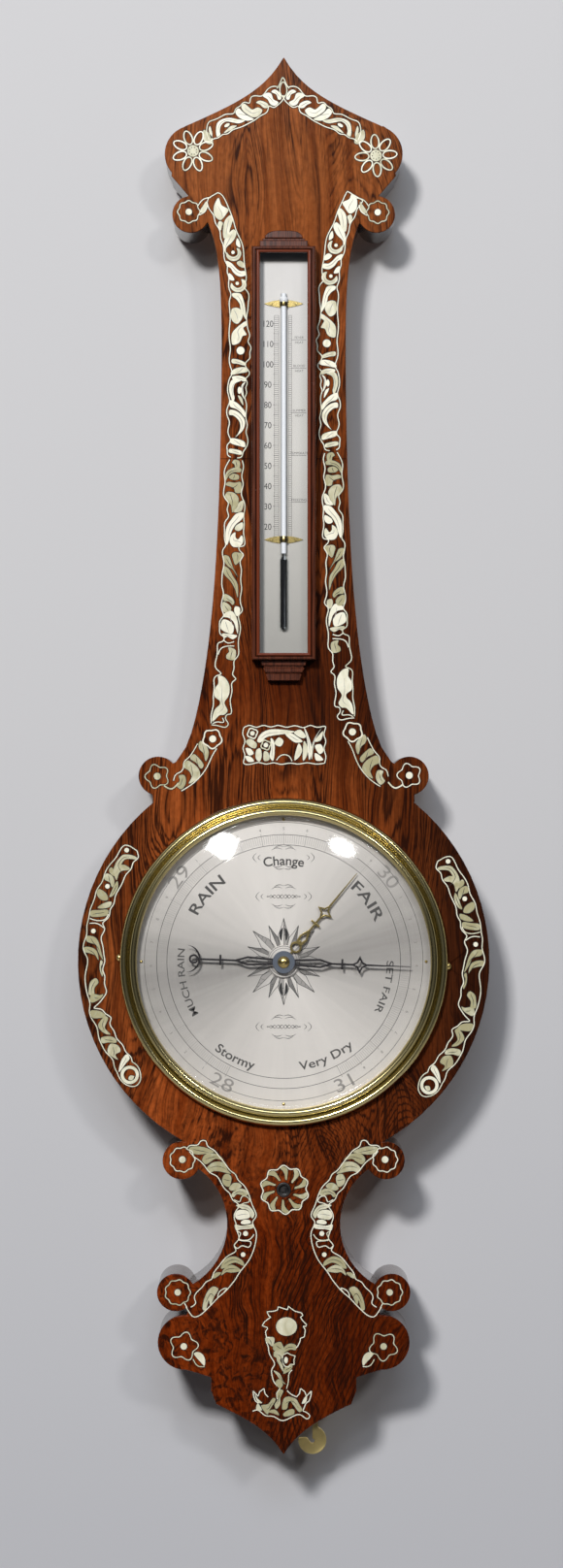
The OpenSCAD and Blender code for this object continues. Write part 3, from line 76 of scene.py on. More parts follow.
def placed(x, z, h):
    """Millimetres right of and above the dial's middle and out from the wall, as metres in the row frame."""
    x, z, h = np.broadcast_arrays(x, z, h)
    return np.stack([x * MM, -h * MM, z * MM + DIAL_Z], -1)


def cells(rows, cols, wrap_rows=False, wrap_cols=False):
    """The four corners of every cell in a grid of rows by cols points, as point numbers."""
    r = np.arange(rows if wrap_rows else rows - 1)
    c = np.arange(cols if wrap_cols else cols - 1)
    r, c = np.meshgrid(r, c, indexing="ij")
    r1, c1 = (r + 1) % rows, (c + 1) % cols
    return np.stack([r * cols + c, r1 * cols + c, r1 * cols + c1, r * cols + c1], -1).reshape(-1, 4)


def many(faces, per_item, items):
    """The faces of one item repeated for several items that follow each other in the point list."""
    return (faces[None] + per_item * np.arange(items)[:, None, None]).reshape(-1, faces.shape[1])


def box_of(node):
    """A node's lowest and highest corners in millimetres, with heights from the dial's middle."""
    return [np.array(corner) / MM - (0, 0, DIAL_Z / MM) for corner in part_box(node)]


class Piece:
    """One object in the making: surfaces gathered as points, faces and a tone for each point."""

    def __init__(self, name):
        self.name, self.points, self.faces, self.tones, self.count = name, [], [], [], 0

    def add(self, points, faces, tone=0.5):
        """Takes in a surface, with one tone for all of it or one for each point."""
        points = np.asarray(points, float).reshape(-1, 3)
        self.points.append(points)
        self.faces.append(np.asarray(faces, int) + self.count)
        self.tones.append(np.broadcast_to(np.asarray(tone, float), len(points)))
        self.count += len(points)
        return self

    def flat(self, xz, faces, h, tone=0.5):
        """A flat surface that faces forward: its corners are put in the order that makes it so."""
        xz = np.asarray(xz, float).reshape(-1, 2)
        faces = np.asarray(faces, int)
        p = xz[faces]
        q = np.roll(p, -1, axis=1)
        area = (p[..., 0] * q[..., 1] - p[..., 1] * q[..., 0]).sum()
        return self.add(placed(xz[:, 0], xz[:, 1], h), faces if area > 0 else faces[:, ::-1], tone)

    def slab(self, xz, low, high):
        """A plate: an outline carried straight from low to high, with its own flat ends."""
        xz = np.asarray(xz, float)
        x, z = xz.T
        xz = xz if (x * np.roll(z, -1) - np.roll(x, -1) * z).sum() > 0 else xz[::-1]
        i, n = np.arange(len(xz)), len(xz)
        j = (i + 1) % n
        base = self.count
        ends = np.concatenate([placed(*xz.T, low), placed(*xz.T, high)])
        self.add(ends, np.stack([i, j, j + n, i + n], -1))
        self.faces += [(i + n + base)[None], (i[::-1] + base)[None]]

    def build(self, body, slot, finish, smooth=False, replaces=(), thick=0.0, bevel=0.0):
        """Makes the object: mesh, wall, edges, finish, what it moves with and what it replaces. The slot is
        not used.
        """
        points = np.concatenate(self.points)
        mesh = bpy.data.meshes.new(self.name)
        sizes = np.concatenate([np.full(len(f), f.shape[1]) for f in self.faces])
        loops = np.concatenate([f.ravel() for f in self.faces])
        mesh.vertices.add(len(points))
        mesh.vertices.foreach_set("co", points.ravel())
        mesh.loops.add(len(loops))
        mesh.loops.foreach_set("vertex_index", loops.astype(np.int32))
        mesh.polygons.add(len(sizes))
        mesh.polygons.foreach_set("loop_start", np.r_[0, np.cumsum(sizes)[:-1]].astype(np.int32))
        mesh.polygons.foreach_set("use_smooth", np.full(len(sizes), smooth))
        tone = mesh.attributes.new("tone", "FLOAT", "POINT")
        tone.data.foreach_set("value", np.concatenate(self.tones))
        mesh.update(calc_edges=True)
        mesh.validate()
        thing = bpy.data.objects.new(self.name, mesh)
        bpy.context.collection.objects.link(thing)
        if thick:
            wall = thing.modifiers.new("thickness", "SOLIDIFY")
            wall.thickness, wall.offset, wall.use_rim = thick * MM, -1, True
        if bevel:
            soften(thing, bevel, weld=False)
        thing.data.materials.append(finish)
        if isinstance(body, str):
            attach(thing, body)
        else:
            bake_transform(thing)
        if replaces:
            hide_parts(*replaces)
        return thing


def soften(thing, width, weld=True):
    """Rounds the sharp edges of a piece by width millimetres."""
    if weld:
        thing.modifiers.new("weld", "WELD").merge_threshold = WELD_GAP
    edge = thing.modifiers.new("edges", "BEVEL")
    edge.width, edge.segments, edge.limit_method = width * MM, 2, "ANGLE"
    edge.angle_limit, edge.use_clamp_overlap, edge.harden_normals = SHARP, False, False


def dress(finish, *nodes, bevel=0.0):
    """Gives CAD nodes a finish by name, and rounds their edges where a width is given."""
    for name in nodes:
        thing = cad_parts[name]
        thing.data.materials.clear()
        thing.data.materials.append(finish_of(finish))
        if bevel:
            soften(thing, bevel)


def spline(at, values, where):
    """Smooth curve through values at the given places: natural cubic pieces with equal slopes and bends."""
    n, step = len(at), np.diff(at)
    rise = np.diff(values) / step
    system, right = np.eye(n), np.zeros(n)
    i = np.arange(1, n - 1)
    system[i, i - 1], system[i, i], system[i, i + 1] = step[:-1], 2 * (step[:-1] + step[1:]), step[1:]
    right[i] = 6 * np.diff(rise)
    bend = np.linalg.solve(system, right)
    k = np.clip(np.searchsorted(at, where) - 1, 0, n - 2)
    a, b, d = at[k + 1] - where, where - at[k], step[k]
    return ((bend[k] * a ** 3 + bend[k + 1] * b ** 3) / (6 * d) + (values[k] / d - bend[k] * d / 6) * a
            + (values[k + 1] / d - bend[k + 1] * d / 6) * b)


def curve(knots, steps):
    """Evenly stepped points on a smooth curve through knots."""
    knots = np.asarray(knots, float)
    chord = np.r_[0, np.cumsum(np.hypot(*np.diff(knots, axis=0).T))]
    where = np.linspace(0, chord[-1], steps)
    return np.stack([spline(chord, knots[:, i], where) for i in (0, 1)], -1)


def straight(corners, steps):
    """Points on the straight runs from corner to corner, as many on each run."""
    corners = np.asarray(corners, float)
    u = np.linspace(0, len(corners) - 1, steps)
    return np.stack([np.interp(u, np.arange(len(corners)), corners[:, i]) for i in (0, 1)], -1)


def sides_of(line):
    """Unit vectors to the left of a line's run, one for each of its points."""
    run = np.gradient(line, axis=-2)
    left = np.stack([-run[..., 1], run[..., 0]], -1)
    return left / np.maximum(np.linalg.norm(left, axis=-1, keepdims=True), 1e-9)


def ribbon(line, width):
    """A flat ribbon: the line moved half its width to either side. Gives points and faces."""
    line = np.asarray(line, float)
    half = np.broadcast_to(np.asarray(width, float) / 2, line.shape[:-1])[..., None]
    side = sides_of(line) * half
    return np.stack([line - side, line + side], -2).reshape(-1, 2), cells(len(line), 2)


def bars(start, stop, side):
    """Flat bars, one for each row: both ends of a straight line moved by side to either hand."""
    start, stop, side = np.broadcast_arrays(*(np.asarray(v, float) for v in (start, stop, side)))
    corners = np.stack([start - side, stop - side, stop + side, start + side], 1)
    return corners.reshape(-1, 2), many(np.arange(4)[None], 4, len(corners))


def turned(profile, steps, x=0.0, z=0.0):
    """A turned surface: a profile of radius and depth carried round an axis that points forward."""
    profile = np.asarray(profile, float)
    a = np.linspace(0, 2 * np.pi, steps, endpoint=False)[:, None]
    r, h = profile[None, :, 0], profile[None, :, 1]
    points = placed(x + r * np.cos(a), z + r * np.sin(a), h + 0 * a)
    return points, cells(steps, len(profile), wrap_rows=True)


def tube(path, radius, h):
    """A round tube: a circle carried along a path in an upright plane. Its first and last rings are open."""
    path = np.asarray(path, float)
    u = np.linspace(0, 2 * np.pi, ROUND, endpoint=False)
    xz = path[:, None] + radius * np.cos(u)[None, :, None] * sides_of(path)[:, None]
    depth = np.broadcast_to(h + radius * np.sin(u), xz.shape[:2])
    return placed(xz[..., 0], xz[..., 1], depth), cells(len(path), ROUND, wrap_cols=True)[:, ::-1]


def arc_of(middle, radius, start, stop, steps):
    """Points on a round arc in a profile, angles in degrees."""
    a = np.radians(np.linspace(start, stop, steps))
    return np.stack([middle[0] + radius * np.cos(a), middle[1] + radius * np.sin(a)], -1)


class Band:
    """A run of inlay along a smooth line: s runs along it and t to its left, in millimetres."""

    def __init__(self, knots, mirror=False):
        line = curve(knots, 500)
        turn = -1 if mirror else 1
        self.line = line * (turn, 1)
        self.at = np.r_[0, np.cumsum(np.hypot(*np.diff(line, axis=0).T))]
        self.side = sides_of(self.line) * turn

    def map(self, st):
        """Places s and t: the line's point at s, moved t along the line's left-hand side."""
        s, t = st[..., 0], st[..., 1]
        along, across = (np.stack([np.interp(s, self.at, line[:, i]) for i in (0, 1)], -1)
                         for line in (self.line, self.side))
        return along + t[..., None] * across


def leaves(table, steps=12):
    """Bent leaves, one for each row: foot, bend and point (s, t), width, lean and lobes. The middle runs on a
    parabola from foot to point, drawn to the bend; the width follows sin(pi u to the power lean), nicked by
    the lobes."""
    rows = np.asarray(table, float)
    foot, bend, tip = (rows[:, None, i:i + 2] for i in (0, 2, 4))
    wide, lean, lobes = (rows[:, None, i] for i in (6, 7, 8))
    u = np.linspace(0.015, 0.985, steps)[None, :, None]
    line = foot * (1 - u) ** 2 + 2 * bend * u * (1 - u) + tip * u ** 2
    v = u[..., 0]
    half = wide / 2 * np.sin(np.pi * v ** lean) ** 0.7 * (1 - 0.3 * np.sin(np.pi * lobes * v) ** 2)
    side = sides_of(line) * half[..., None]
    return np.stack([line - side, line + side], -2), many(cells(steps, 2), steps * 2, len(rows))


def loops(table, steps=72):
    """Closed lines round a middle, one for each row: s, t, radius, width, lobes, wave and turn. The radius is
    swelled by wave times cos(lobes times the angle)."""
    rows = np.asarray(table, float)
    s, t, radius, width, lobes, wave, turn = (rows[:, i, None] for i in range(7))
    a = np.linspace(0, 2 * np.pi, steps, endpoint=False)[None]
    r = radius * (1 + wave * np.cos(lobes * a))
    rim = np.stack([r - width / 2, r + width / 2], -1)
    b = (a + turn)[..., None]
    points = np.stack([s[..., None] + rim * np.cos(b), t[..., None] + rim * np.sin(b)], -1)
    return points, many(cells(steps, 2, wrap_rows=True), steps * 2, len(rows))


def discs(table, steps=24):
    """Round plates, one for each row: s, t, radius and the share of the radius along t."""
    rows = np.asarray(table, float)
    s, t, radius, squash = (rows[:, i, None] for i in range(4))
    a = np.linspace(0, 2 * np.pi, steps, endpoint=False)[None]
    points = np.stack([s + radius * np.cos(a), t + radius * squash * np.sin(a)], -1)
    return points, many(np.arange(steps)[None], steps, len(rows))


# ---- finishes

class Wire:
    """One value in a finish. Plain expressions on wires add the Math nodes that they need."""

    def __init__(self, graph, socket):
        self.graph, self.socket = graph, socket

    def sum(self, operation, *values):
        """One Math node on values or wires."""
        return self.graph.add("ShaderNodeMath", {"operation": operation}, dict(enumerate(values)))

    def __add__(self, other): return self.sum("ADD", self, other)
    def __radd__(self, other): return self.sum("ADD", other, self)
    def __sub__(self, other): return self.sum("SUBTRACT", self, other)
    def __rsub__(self, other): return self.sum("SUBTRACT", other, self)
    def __mul__(self, other): return self.sum("MULTIPLY", self, other)
    def __rmul__(self, other): return self.sum("MULTIPLY", other, self)
    def __truediv__(self, other): return self.sum("DIVIDE", self, other)
    def __rtruediv__(self, other): return self.sum("DIVIDE", other, self)
    def __pow__(self, other): return self.sum("POWER", self, other)
    def __gt__(self, other): return self.sum("GREATER_THAN", self, other)
    def __lt__(self, other): return self.sum("LESS_THAN", self, other)
    def __abs__(self): return self.sum("ABSOLUTE", self)


class Nodes:
    """A node tree in the making."""

    def __init__(self, tree):
        self.tree = tree

    def add(self, kind, settings=None, values=None, out=0):
        """Any node: its type, its settings (a ramp's stops among them), then its sockets' values or wires."""
        node = self.tree.nodes.new(kind)
        for key, value in (settings or {}).items():
            if key == "stops":
                ramp = node.color_ramp.elements
                while len(ramp) < len(value):
                    ramp.new(1.0)
                for stop, (place, colour) in zip(ramp, value):
                    stop.position, stop.color = place, (*colour, 1) if len(colour) == 3 else colour
            else:
                setattr(node, key, value)
        for key, value in (values or {}).items():
            self.feed(node.inputs[key], value)
        return Wire(self, node.outputs[out])

    def feed(self, socket, value):
        """Links a wire to a socket, or sets its value; a colour without an alpha gets one."""
        if isinstance(value, Wire):
            self.tree.links.new(value.socket, socket)
        elif hasattr(socket.default_value, "__len__") and np.ndim(value):
            size = len(socket.default_value)
            socket.default_value = (*value, 1.0)[:size] if len(value) < size else value
        else:
            socket.default_value = value

    def noise(self, scale, detail=3.0, rough=0.55, warp=0.0, at=None, move=(0, 0, 0)):
        """Soft noise, so many waves to the metre along each axis, on the piece's coordinates or others."""
        at = at or self.add("ShaderNodeTexCoord", out="Object")
        scale = scale if np.ndim(scale) else (scale,) * 3
        spot = self.add("ShaderNodeMapping", None, {0: at, "Location": move, "Scale": scale})
        return self.add("ShaderNodeTexNoise", None, {"Vector": spot, "Scale": 1.0, "Detail": detail,
                                                     "Roughness": rough, "Distortion": warp})

    def axes(self, at=None):
        """The three coordinates as single values."""
        at = at or self.add("ShaderNodeTexCoord", out="Object")
        return [self.add("ShaderNodeSeparateXYZ", None, {0: at}, out=axis) for axis in "XYZ"]

    def tone(self):
        """The tone that each point of a piece carries."""
        return self.add("ShaderNodeAttribute", {"attribute_name": "tone"}, out="Fac")

    def ray(self, kind):
        """One where the light's ray is of a kind, else nought."""
        return self.add("ShaderNodeLightPath", out=kind)

    def ramp(self, value, *stops):
        """A colour for each value, run smoothly from stop to stop."""
        return self.add("ShaderNodeValToRGB", {"stops": stops}, {0: value})

    def step(self, value, low, high, to_low=0.0, to_high=1.0):
        """Runs from to_low to to_high as value runs from low to high, and stays there."""
        ends = {1: low, 2: high, 3: to_low, 4: to_high}
        return self.add("ShaderNodeMapRange", {"clamp": True}, {0: value, **ends})

    def blend(self, share, first, second, how="MIX"):
        """Mixes two colours by a share."""
        node = {"data_type": "RGBA", "blend_type": how, "clamp_factor": True}
        return self.add("ShaderNodeMix", node, {0: share, 6: first, 7: second}, out=2)

    def wave(self, value, kind="SINE"):
        """The sine or cosine of a value in radians, moved to run from nought to one."""
        return self.add("ShaderNodeMath", {"operation": kind}, {0: value}) * 0.5 + 0.5

    def shade(self, share, first, second):
        """Mixes two shaders by a share."""
        return self.add("ShaderNodeMixShader", None, {0: share, 1: first, 2: second})

    def glass(self, tint, gloss, see):
        """Clear glass with a mirror on it: a twenty-fifth of the light face on, growing to all of it edge on
        with the fifth power, times see."""
        mirror = self.add("ShaderNodeBsdfGlossy", None, {"Color": (1, 1, 1, 1), "Roughness": gloss})
        through = self.add("ShaderNodeBsdfTransparent", None, {"Color": (*tint, 1)})
        share = self.add("ShaderNodeLayerWeight", None, {"Blend": 0.5}, out="Facing") ** 5.0 * 0.96 + 0.04
        return self.shade(share * see, through, mirror)

    def bump(self, height, strength, depth):
        """Relief of so many millimetres."""
        relief = {"Strength": strength, "Distance": depth * MM, "Height": height}
        return self.add("ShaderNodeBump", None, relief)


class Finish(Nodes):
    """A material in the making, with one Principled shader at its end."""

    def __init__(self, name, **fixed):
        self.material = bpy.data.materials.new(name)
        self.material.use_nodes = True
        super().__init__(self.material.node_tree)
        self.shader = self.tree.nodes["Principled BSDF"]
        self.body = Wire(self, self.shader.outputs[0])
        self.set(**fixed)

    def set(self, **values):
        """Feeds the Principled shader's sockets, called by their names."""
        for key, value in values.items():
            self.feed(self.shader.inputs[key.replace("_", " ").title().replace("Ior", "IOR")], value)
        return self

    def end(self, shader):
        """Ends the finish in another shader."""
        self.feed(self.tree.nodes["Material Output"].inputs["Surface"], shader)
        return self.material


def times(colour, share):
    """A colour made darker or lighter: each part times share, or times its own one of three."""
    return tuple(np.multiply(tuple(colour), share).tolist())


def colour(name, note, value):
    """A colour that a user may change."""
    return bpy.props.FloatVectorProperty(name=name, description=note, subtype="COLOR", size=3, min=0, max=1,
                                         default=value)


def length(name, note, value):
    """A length in metres that a user may change."""
    return bpy.props.FloatProperty(name=name, description=note, default=value, unit="LENGTH", min=0)


def number(name, note, value, top=100.0):
    """A plain number that a user may change."""
    return bpy.props.FloatProperty(name=name, description=note, default=value, min=0, max=top)


class CaseSettings(bpy.types.PropertyGroup):
    """Wood and inlay of the case."""
    wood_light: colour("Light wood", "Rosewood of the crest", (0.325, 0.090, 0.021))
    wood_mid: colour("Red wood", "Rosewood of the tail", (0.150, 0.0205, 0.0022))
    wood_dark: colour("Dark streaks", "Dark streaks of the rosewood", (0.016, 0.0045, 0.0025))
    stain: colour("Stained sides", "The case's sides", (0.040, 0.020, 0.013))
    board: colour("Back boards", "Bare wood at the back", (0.200, 0.105, 0.050))
    moulding: colour("Moulding", "Dark moulded wood round the thermometer", (0.108, 0.026, 0.0100))
    pearl_pale: colour("Pale pearl", "Bright pieces of shell", (0.93, 0.885, 0.68))
    pearl_green: colour("Grey-green pearl", "Duller pieces of shell", (0.43, 0.385, 0.215))
    wood_gloss: number("Roughness", "Roughness of the polished wood", 0.15, 1.0)
    inlay_rise: length("Inlay height", "How far the inlay stands out of the veneer", 0.0003)


class DialSettings(bpy.types.PropertyGroup):
    """Dial, hands and bezel."""
    silver: colour("Silvering", "The silvered plates", (0.756, 0.709, 0.652))
    wax: colour("Engraving", "Black filling of the engraving", (0.018, 0.017, 0.016))
    brass: colour("Brass", "Bezel and fittings", (0.52, 0.40, 0.150))
    steel: colour("Blued steel", "The indicating hand", (0.062, 0.057, 0.058))
    hub: colour("Hub", "Flat middle of the indicating hand", (0.130, 0.150, 0.185))
    scale_in: length("Inner scale line", "Radius of the scale's inner line", 0.080)
    scale_out: length("Outer scale line", "Radius of the scale's outer line", 0.087)
    star_r: length("Star", "Reach of the engraved star", 0.0298)
    line_w: length("Line", "Width of the engraved lines", 0.00034)


class StageSettings(bpy.types.PropertyGroup):
    """Wall, light and camera."""
    wall: colour("Wall", "The pale wall", (0.595, 0.582, 0.580))
    wall_gap: length("Gap", "Distance between the foot of the case and the wall", 0.037)
    camera_y: length("Distance", "Distance of the camera from the wall plane", 2.295)
    lens: number("Lens", "Focal length in millimetres", 75.4, 300)
    key_power: number("Key light", "Watts of the main light", 93.0, 5000)
    side_power: number("Side light", "Watts of the second light", 16.0, 5000)
    soft_power: number("Soft light", "Watts of the broad light from above", 20.0, 5000)
    gleam: number("Gleam", "Watts of the small lights that show in the glass", 3.0, 100)
    fill: number("Fill", "Strength of the even light", 0.050, 10)


def settings(name):
    """One group of settings."""
    return getattr(bpy.context.scene, "barometer_" + name)


FINISHES = {}


def finish_of(name):
    """A finish by name, made once."""
    if name not in FINISHES:
        FINISHES[name] = MAKERS[name]() if name in MAKERS else brass(name, *BRASSES[name])
    return FINISHES[name]


def rosewood():
    """Upright figure: the level lines of a tall, warped noise field, drawn thin in two widths and gathered by
    patches of noise, with short dark dashes for pores. Below the dial the lines fan out from the tail's point
    and twist more, with slanted lines at the right and a burl at the left. The tint runs along the height,
    palest at the crest, and is darker beside the dial and at the thermometer's seams. Below the crest it
    holds
    painted light and shade: the left side is made lighter and the right darker, darker still at the neck's
    right."""
    own = settings("case")
    f = Finish("rosewood", specular_ior_level=0.06)
    x, y, z = f.axes()
    up = z - DIAL_Z
    tail = f.step(up, -0.07, -0.19)
    warp = f.noise((16, 16, 7.0), 2.0, 0.5, move=(0.3, 0, 0.2)) - 0.5
    curl = f.noise((26, 26, 17.0), 2.0, 0.5, move=(1.7, 0, 0.6)) - 0.5
    fan = x * 0.27 / (up + 0.50) - x
    across = x + fan * tail + warp * 0.022 + curl * (tail * 0.035 + 0.006)
    at = f.add("ShaderNodeCombineXYZ", None, {0: across, 1: y, 2: z + warp * 0.05})
    field = f.noise((15, 15, 2.4), 1.5, 0.45, at=at)
    fine = f.noise((420, 120, 11.0), 3.0, 0.6, at=at)
    fibre = f.noise((820, 300, 17.0), 2.0, 0.6, at=at)
    pores = f.noise((760, 240, 62.0), 2.0, 0.55, at=at)
    patch = f.noise((34, 20, 6.5), 3.0, 0.55, at=at)
    light = f.noise((190, 60, 5.0), 3.0, 0.6, at=at)
    wave = 6.283  # one turn

    def level(lines, rag, sharp):
        """So many level lines of the field, frayed by the fine grain and drawn thinner as sharp grows."""
        return f.wave((field * lines + (fine - 0.5) * rag) * wave) ** sharp

    dark = level(36 + tail, 1.5, 8.0) * f.step(patch, 0.36, 0.58) * (0.95 - tail * 0.35)
    dark = dark + level(84 + tail * 40, 1.5, 5.0) * f.step(patch + fine * 0.4, 0.50, 0.80) * 0.80
    slant = f.wave((x - up * 0.42 + warp * 0.012 + (fine - 0.5) * 0.0012) * 1750) ** 5.0
    slant = slant * f.step(x - up * 0.25, 0.040, 0.062) * f.step(patch + fine * 0.3, 0.46, 0.66)
    dark = dark + slant * tail * 0.85
    dark = dark + f.step(patch, 0.47, 0.70) * (0.42 - tail * 0.22)
    dark = dark + f.step(fibre, 0.46, 0.64) * 0.46
    dark = dark + f.step(pores, 0.53, 0.66) * (tail * 0.25 + 0.25)
    crest = f.step(up, 0.40, 0.47)
    vein = f.step(abs(x - 0.021 + warp * 0.03), 0.009, 0.001) * f.step(fine, 0.38, 0.56)
    dark = dark * (1.0 - crest * 0.45) + vein * crest * 0.45
    dark = dark + level(130, 0.6, 4.0) * crest * f.step(patch, 0.40, 0.55) * 0.38
    burl = f.noise((150, 150, 130), 4.0, 0.6, 1.4) - 0.5
    knot = f.step(f.noise((17, 17, 15), 2.0, 0.5, move=(0.9, 0, 2.2)) - x * 4.0, 0.47, 0.62) * tail
    dark = dark + (f.step(burl, -0.02, 0.10) * 0.75 - dark * 0.6) * knot
    height = f.step(up, -0.34, 0.62)
    stops = ((0.0, 0.0, 0.8), (0.16, 0.0, 0.9), (0.22, 0.2, 1.1), (0.36, 0.5, 1.0), (0.48, 0.4, 1.0),
             (0.55, 0.15, 0.60), (0.63, 0.4, 0.85), (0.78, 0.5, 1.0), (0.92, 1.0, 0.80), (1.0, 1.0, 0.86))
    mid, pale = np.array(own.wood_mid), np.array(own.wood_light)
    tint = f.ramp(height, *((place, times(mid * (1 - pallor) + pale * pallor, share))
                            for place, pallor, share in stops))
    streak = f.ramp(light, (0.32, (0.66, 0.56, 0.46)), (0.50, (1.0, 1.0, 1.0)), (0.66, (1.24, 1.28, 1.34)))
    tint = f.blend(1.0, tint, streak, "MULTIPLY")
    mottle = f.noise((330, 330, 210), 3.0, 0.65)
    mottle = f.ramp(mottle, (0.34, (0.70, 0.64, 0.58)), (0.64, (1.34, 1.40, 1.46)))
    tint = f.blend(tail * 0.6 + 0.4, tint, f.blend(1.0, tint, mottle, "MULTIPLY"))
    # Painted light and shade: below the crest the left side is made lighter and the right side darker.
    painted_side_light = f.ramp(f.step(x, 0.050, -0.050), (0.0, (0.80, 0.80, 0.80)), (1.0, (1.34, 1.38, 1.42)))
    tint = f.blend(f.step(up, 0.44, 0.36), tint, f.blend(1.0, tint, painted_side_light, "MULTIPLY"))
    tint = f.blend(f.step(dark, 0.0, 1.0, 0.0, 0.93), tint, own.wood_dark)
    sides = f.step(x, 0.070, 0.118, 0.0, 0.82) + f.step(x, -0.085, -0.13, 0.0, 0.42)
    tint = f.blend(sides * f.step(abs(up), 0.14, 0.09), tint, own.wood_dark)
    # Painted shade: the right side of the neck is darkened further.
    shade = f.step(x, -0.012, 0.012) * f.step(abs(up - 0.19), 0.07, 0.03)
    tint = f.blend(shade * 0.38, tint, own.wood_dark)
    seam = (abs(up - 0.3445) < 0.00025) * (abs(x) > 0.0225)
    tint = f.blend(seam * 0.8, tint, times(own.wood_dark, 0.4))
    f.set(base_color=tint, roughness=own.wood_gloss - 0.04 + f.noise(26, 3.0) * 0.08)
    f.set(normal=f.bump(fibre, 0.12, 0.10))
    return f.material


def moulding():
    """Polished moulding: streaks of noise along the height over a red-brown stain. Where the tone is nought
    it is painted black as shade, and where it is one it is painted paler as a highlight."""
    own = settings("case")
    f = Finish("moulding_wood", specular_ior_level=0.22)
    wood = f.ramp(f.noise((900, 900, 36), 3.0, 0.6), (0.38, times(own.moulding, 0.35)), (0.58, own.moulding))
    tone = f.tone()
    # Painted highlight: paler where the tone is one, on the inner bead.
    wood = f.blend(f.step(tone, 0.5, 1.0), wood, times(own.moulding, (1.35, 1.05, 0.8)))
    # Painted shade: black where the tone is nought, in the hollow and on the box's inner wall.
    wood = f.blend(f.step(tone, 0.0, 0.5), (0.003, 0.0015, 0.001), wood)
    return f.set(base_color=wood, roughness=0.20 + f.noise(60, 2.0) * 0.1).material


def stained():
    """Dark polished sides: streaks of noise along the height over a dark stain."""
    own = settings("case")
    f = Finish("stained_wood", specular_ior_level=0.5, coat_weight=0.5, coat_roughness=0.12)
    fine = f.noise((900, 900, 30), 2.0)
    grain = f.noise((160, 160, 7), 4.0, 0.6) * 0.7 + fine * 0.3
    f.set(base_color=f.ramp(grain, (0.36, times(own.stain, 0.35)), (0.62, times(own.stain, 1.6))),
          roughness=0.20 + f.noise(40, 3.0) * 0.1)
    return f.set(normal=f.bump(fine, 0.08, 0.1)).material


def bare_board():
    """Bare softwood at the back: wide annual bands and fine fibre along the height, darkened by age."""
    own = settings("case")
    f = Finish("back_board", specular_ior_level=0.3)
    bands = f.noise((120, 60, 3.0), 3.0, 0.5, 0.6)
    fibre = f.noise((1100, 500, 22), 2.0)
    soil_and_shadow = f.noise(14, 4.0, 0.6)
    mix = bands * 0.6 + fibre * 0.25 + soil_and_shadow * 0.15
    tint = f.ramp(mix, (0.36, times(own.board, 0.42)), (0.52, own.board), (0.66, times(own.board, 1.35)))
    f.set(base_color=tint, roughness=0.62 + fibre * 0.2)
    return f.set(normal=f.bump(bands * 0.4 + fibre * 0.6, 0.25, 0.2)).material


def pearl():
    """Shell: each piece has a tone of its own, with soft clouds and faint rose and green gleams in it."""
    own = settings("case")
    f = Finish("pearl_shell", specular_ior_level=0.3, coat_roughness=0.06, coat_weight=0.25)
    tone = f.tone()
    cloud = f.noise((130, 130, 90), 3.0, 0.55, 0.8)
    fleck = f.noise((420, 420, 260), 2.0, 0.5, 0.5)
    base = f.blend(f.step(tone * 0.65 + cloud * 0.6, 0.46, 0.86), own.pearl_green, own.pearl_pale)
    base = f.blend(f.step(cloud * 0.5 + tone * 0.5, 0.55, 0.75) * 0.20, base, (0.93, 0.84, 0.80))
    base = f.blend(f.step(fleck, 0.52, 0.72) * 0.20, base, (0.56, 0.72, 0.60))
    f.set(base_color=base, roughness=0.18 + cloud * 0.12)
    return f.material


def metal(name, tint, rough, spread, tarnish, clouds, speck=0.06):
    """Metal with clouds of tarnish, so many to the metre: noise darkens it and takes off its shine."""
    f = Finish(name, metallic=1.0)
    cloud = f.noise(clouds, 4.0, 0.6)
    fine = f.noise(900, 2.0)
    return f.set(base_color=f.blend(f.step(cloud, 0.42, 0.75) * tarnish * 4, tint, times(tint, 0.55)),
                 roughness=rough + (cloud - 0.4) * spread + (fine - 0.5) * speck)


# share of the brass's colour; roughness, its spread, tarnish, clouds and speck; how metallic it looks
BRASSES = {
    "brass": (1.0, (0.24, 0.20, 0.10, 40), 1.0),
    "polished_brass": ((1.10, 1.20, 1.5), (0.17, 0.03, 0.03, 40, 0.0), 1.0),
    "dull_brass": (0.80, (0.26, 0.2, 0.14, 160), 1.0),
    "aged_brass": (0.80, (0.24, 0.2, 0.24, 620), 1.0),
    "bright_brass": (1.6, (0.24, 0.1, 0.05, 40), 1.0),
    # Painted light: a brighter, less metallic copy of the brass for the steady hook, which hangs in the
    # case's shadow.
    "painted_light_hook_brass": (1.7, (0.46, 0.1, 0.08, 160), 0.15),
}


def brass(name, share, surface, metallic):
    """One of the brasses, by its row in the table."""
    return metal(name, times(settings("dial").brass, share), *surface).set(metallic=metallic).material


def blued():
    """Dark steel, blue-grey where it lies flat about the dial's middle."""
    own = settings("dial")
    f = metal("blued_steel", own.steel, 0.30, 0.15, 0.1, 160)
    x, _, z = f.axes()
    radius = (x * x + (z - DIAL_Z) * (z - DIAL_Z)) ** 0.5
    hub = (0.0074, 0.0078)
    return f.set(base_color=f.blend(f.step(radius, *hub), own.hub, own.steel),
                 metallic=f.step(radius, *hub, 0.25, 1.0)).material


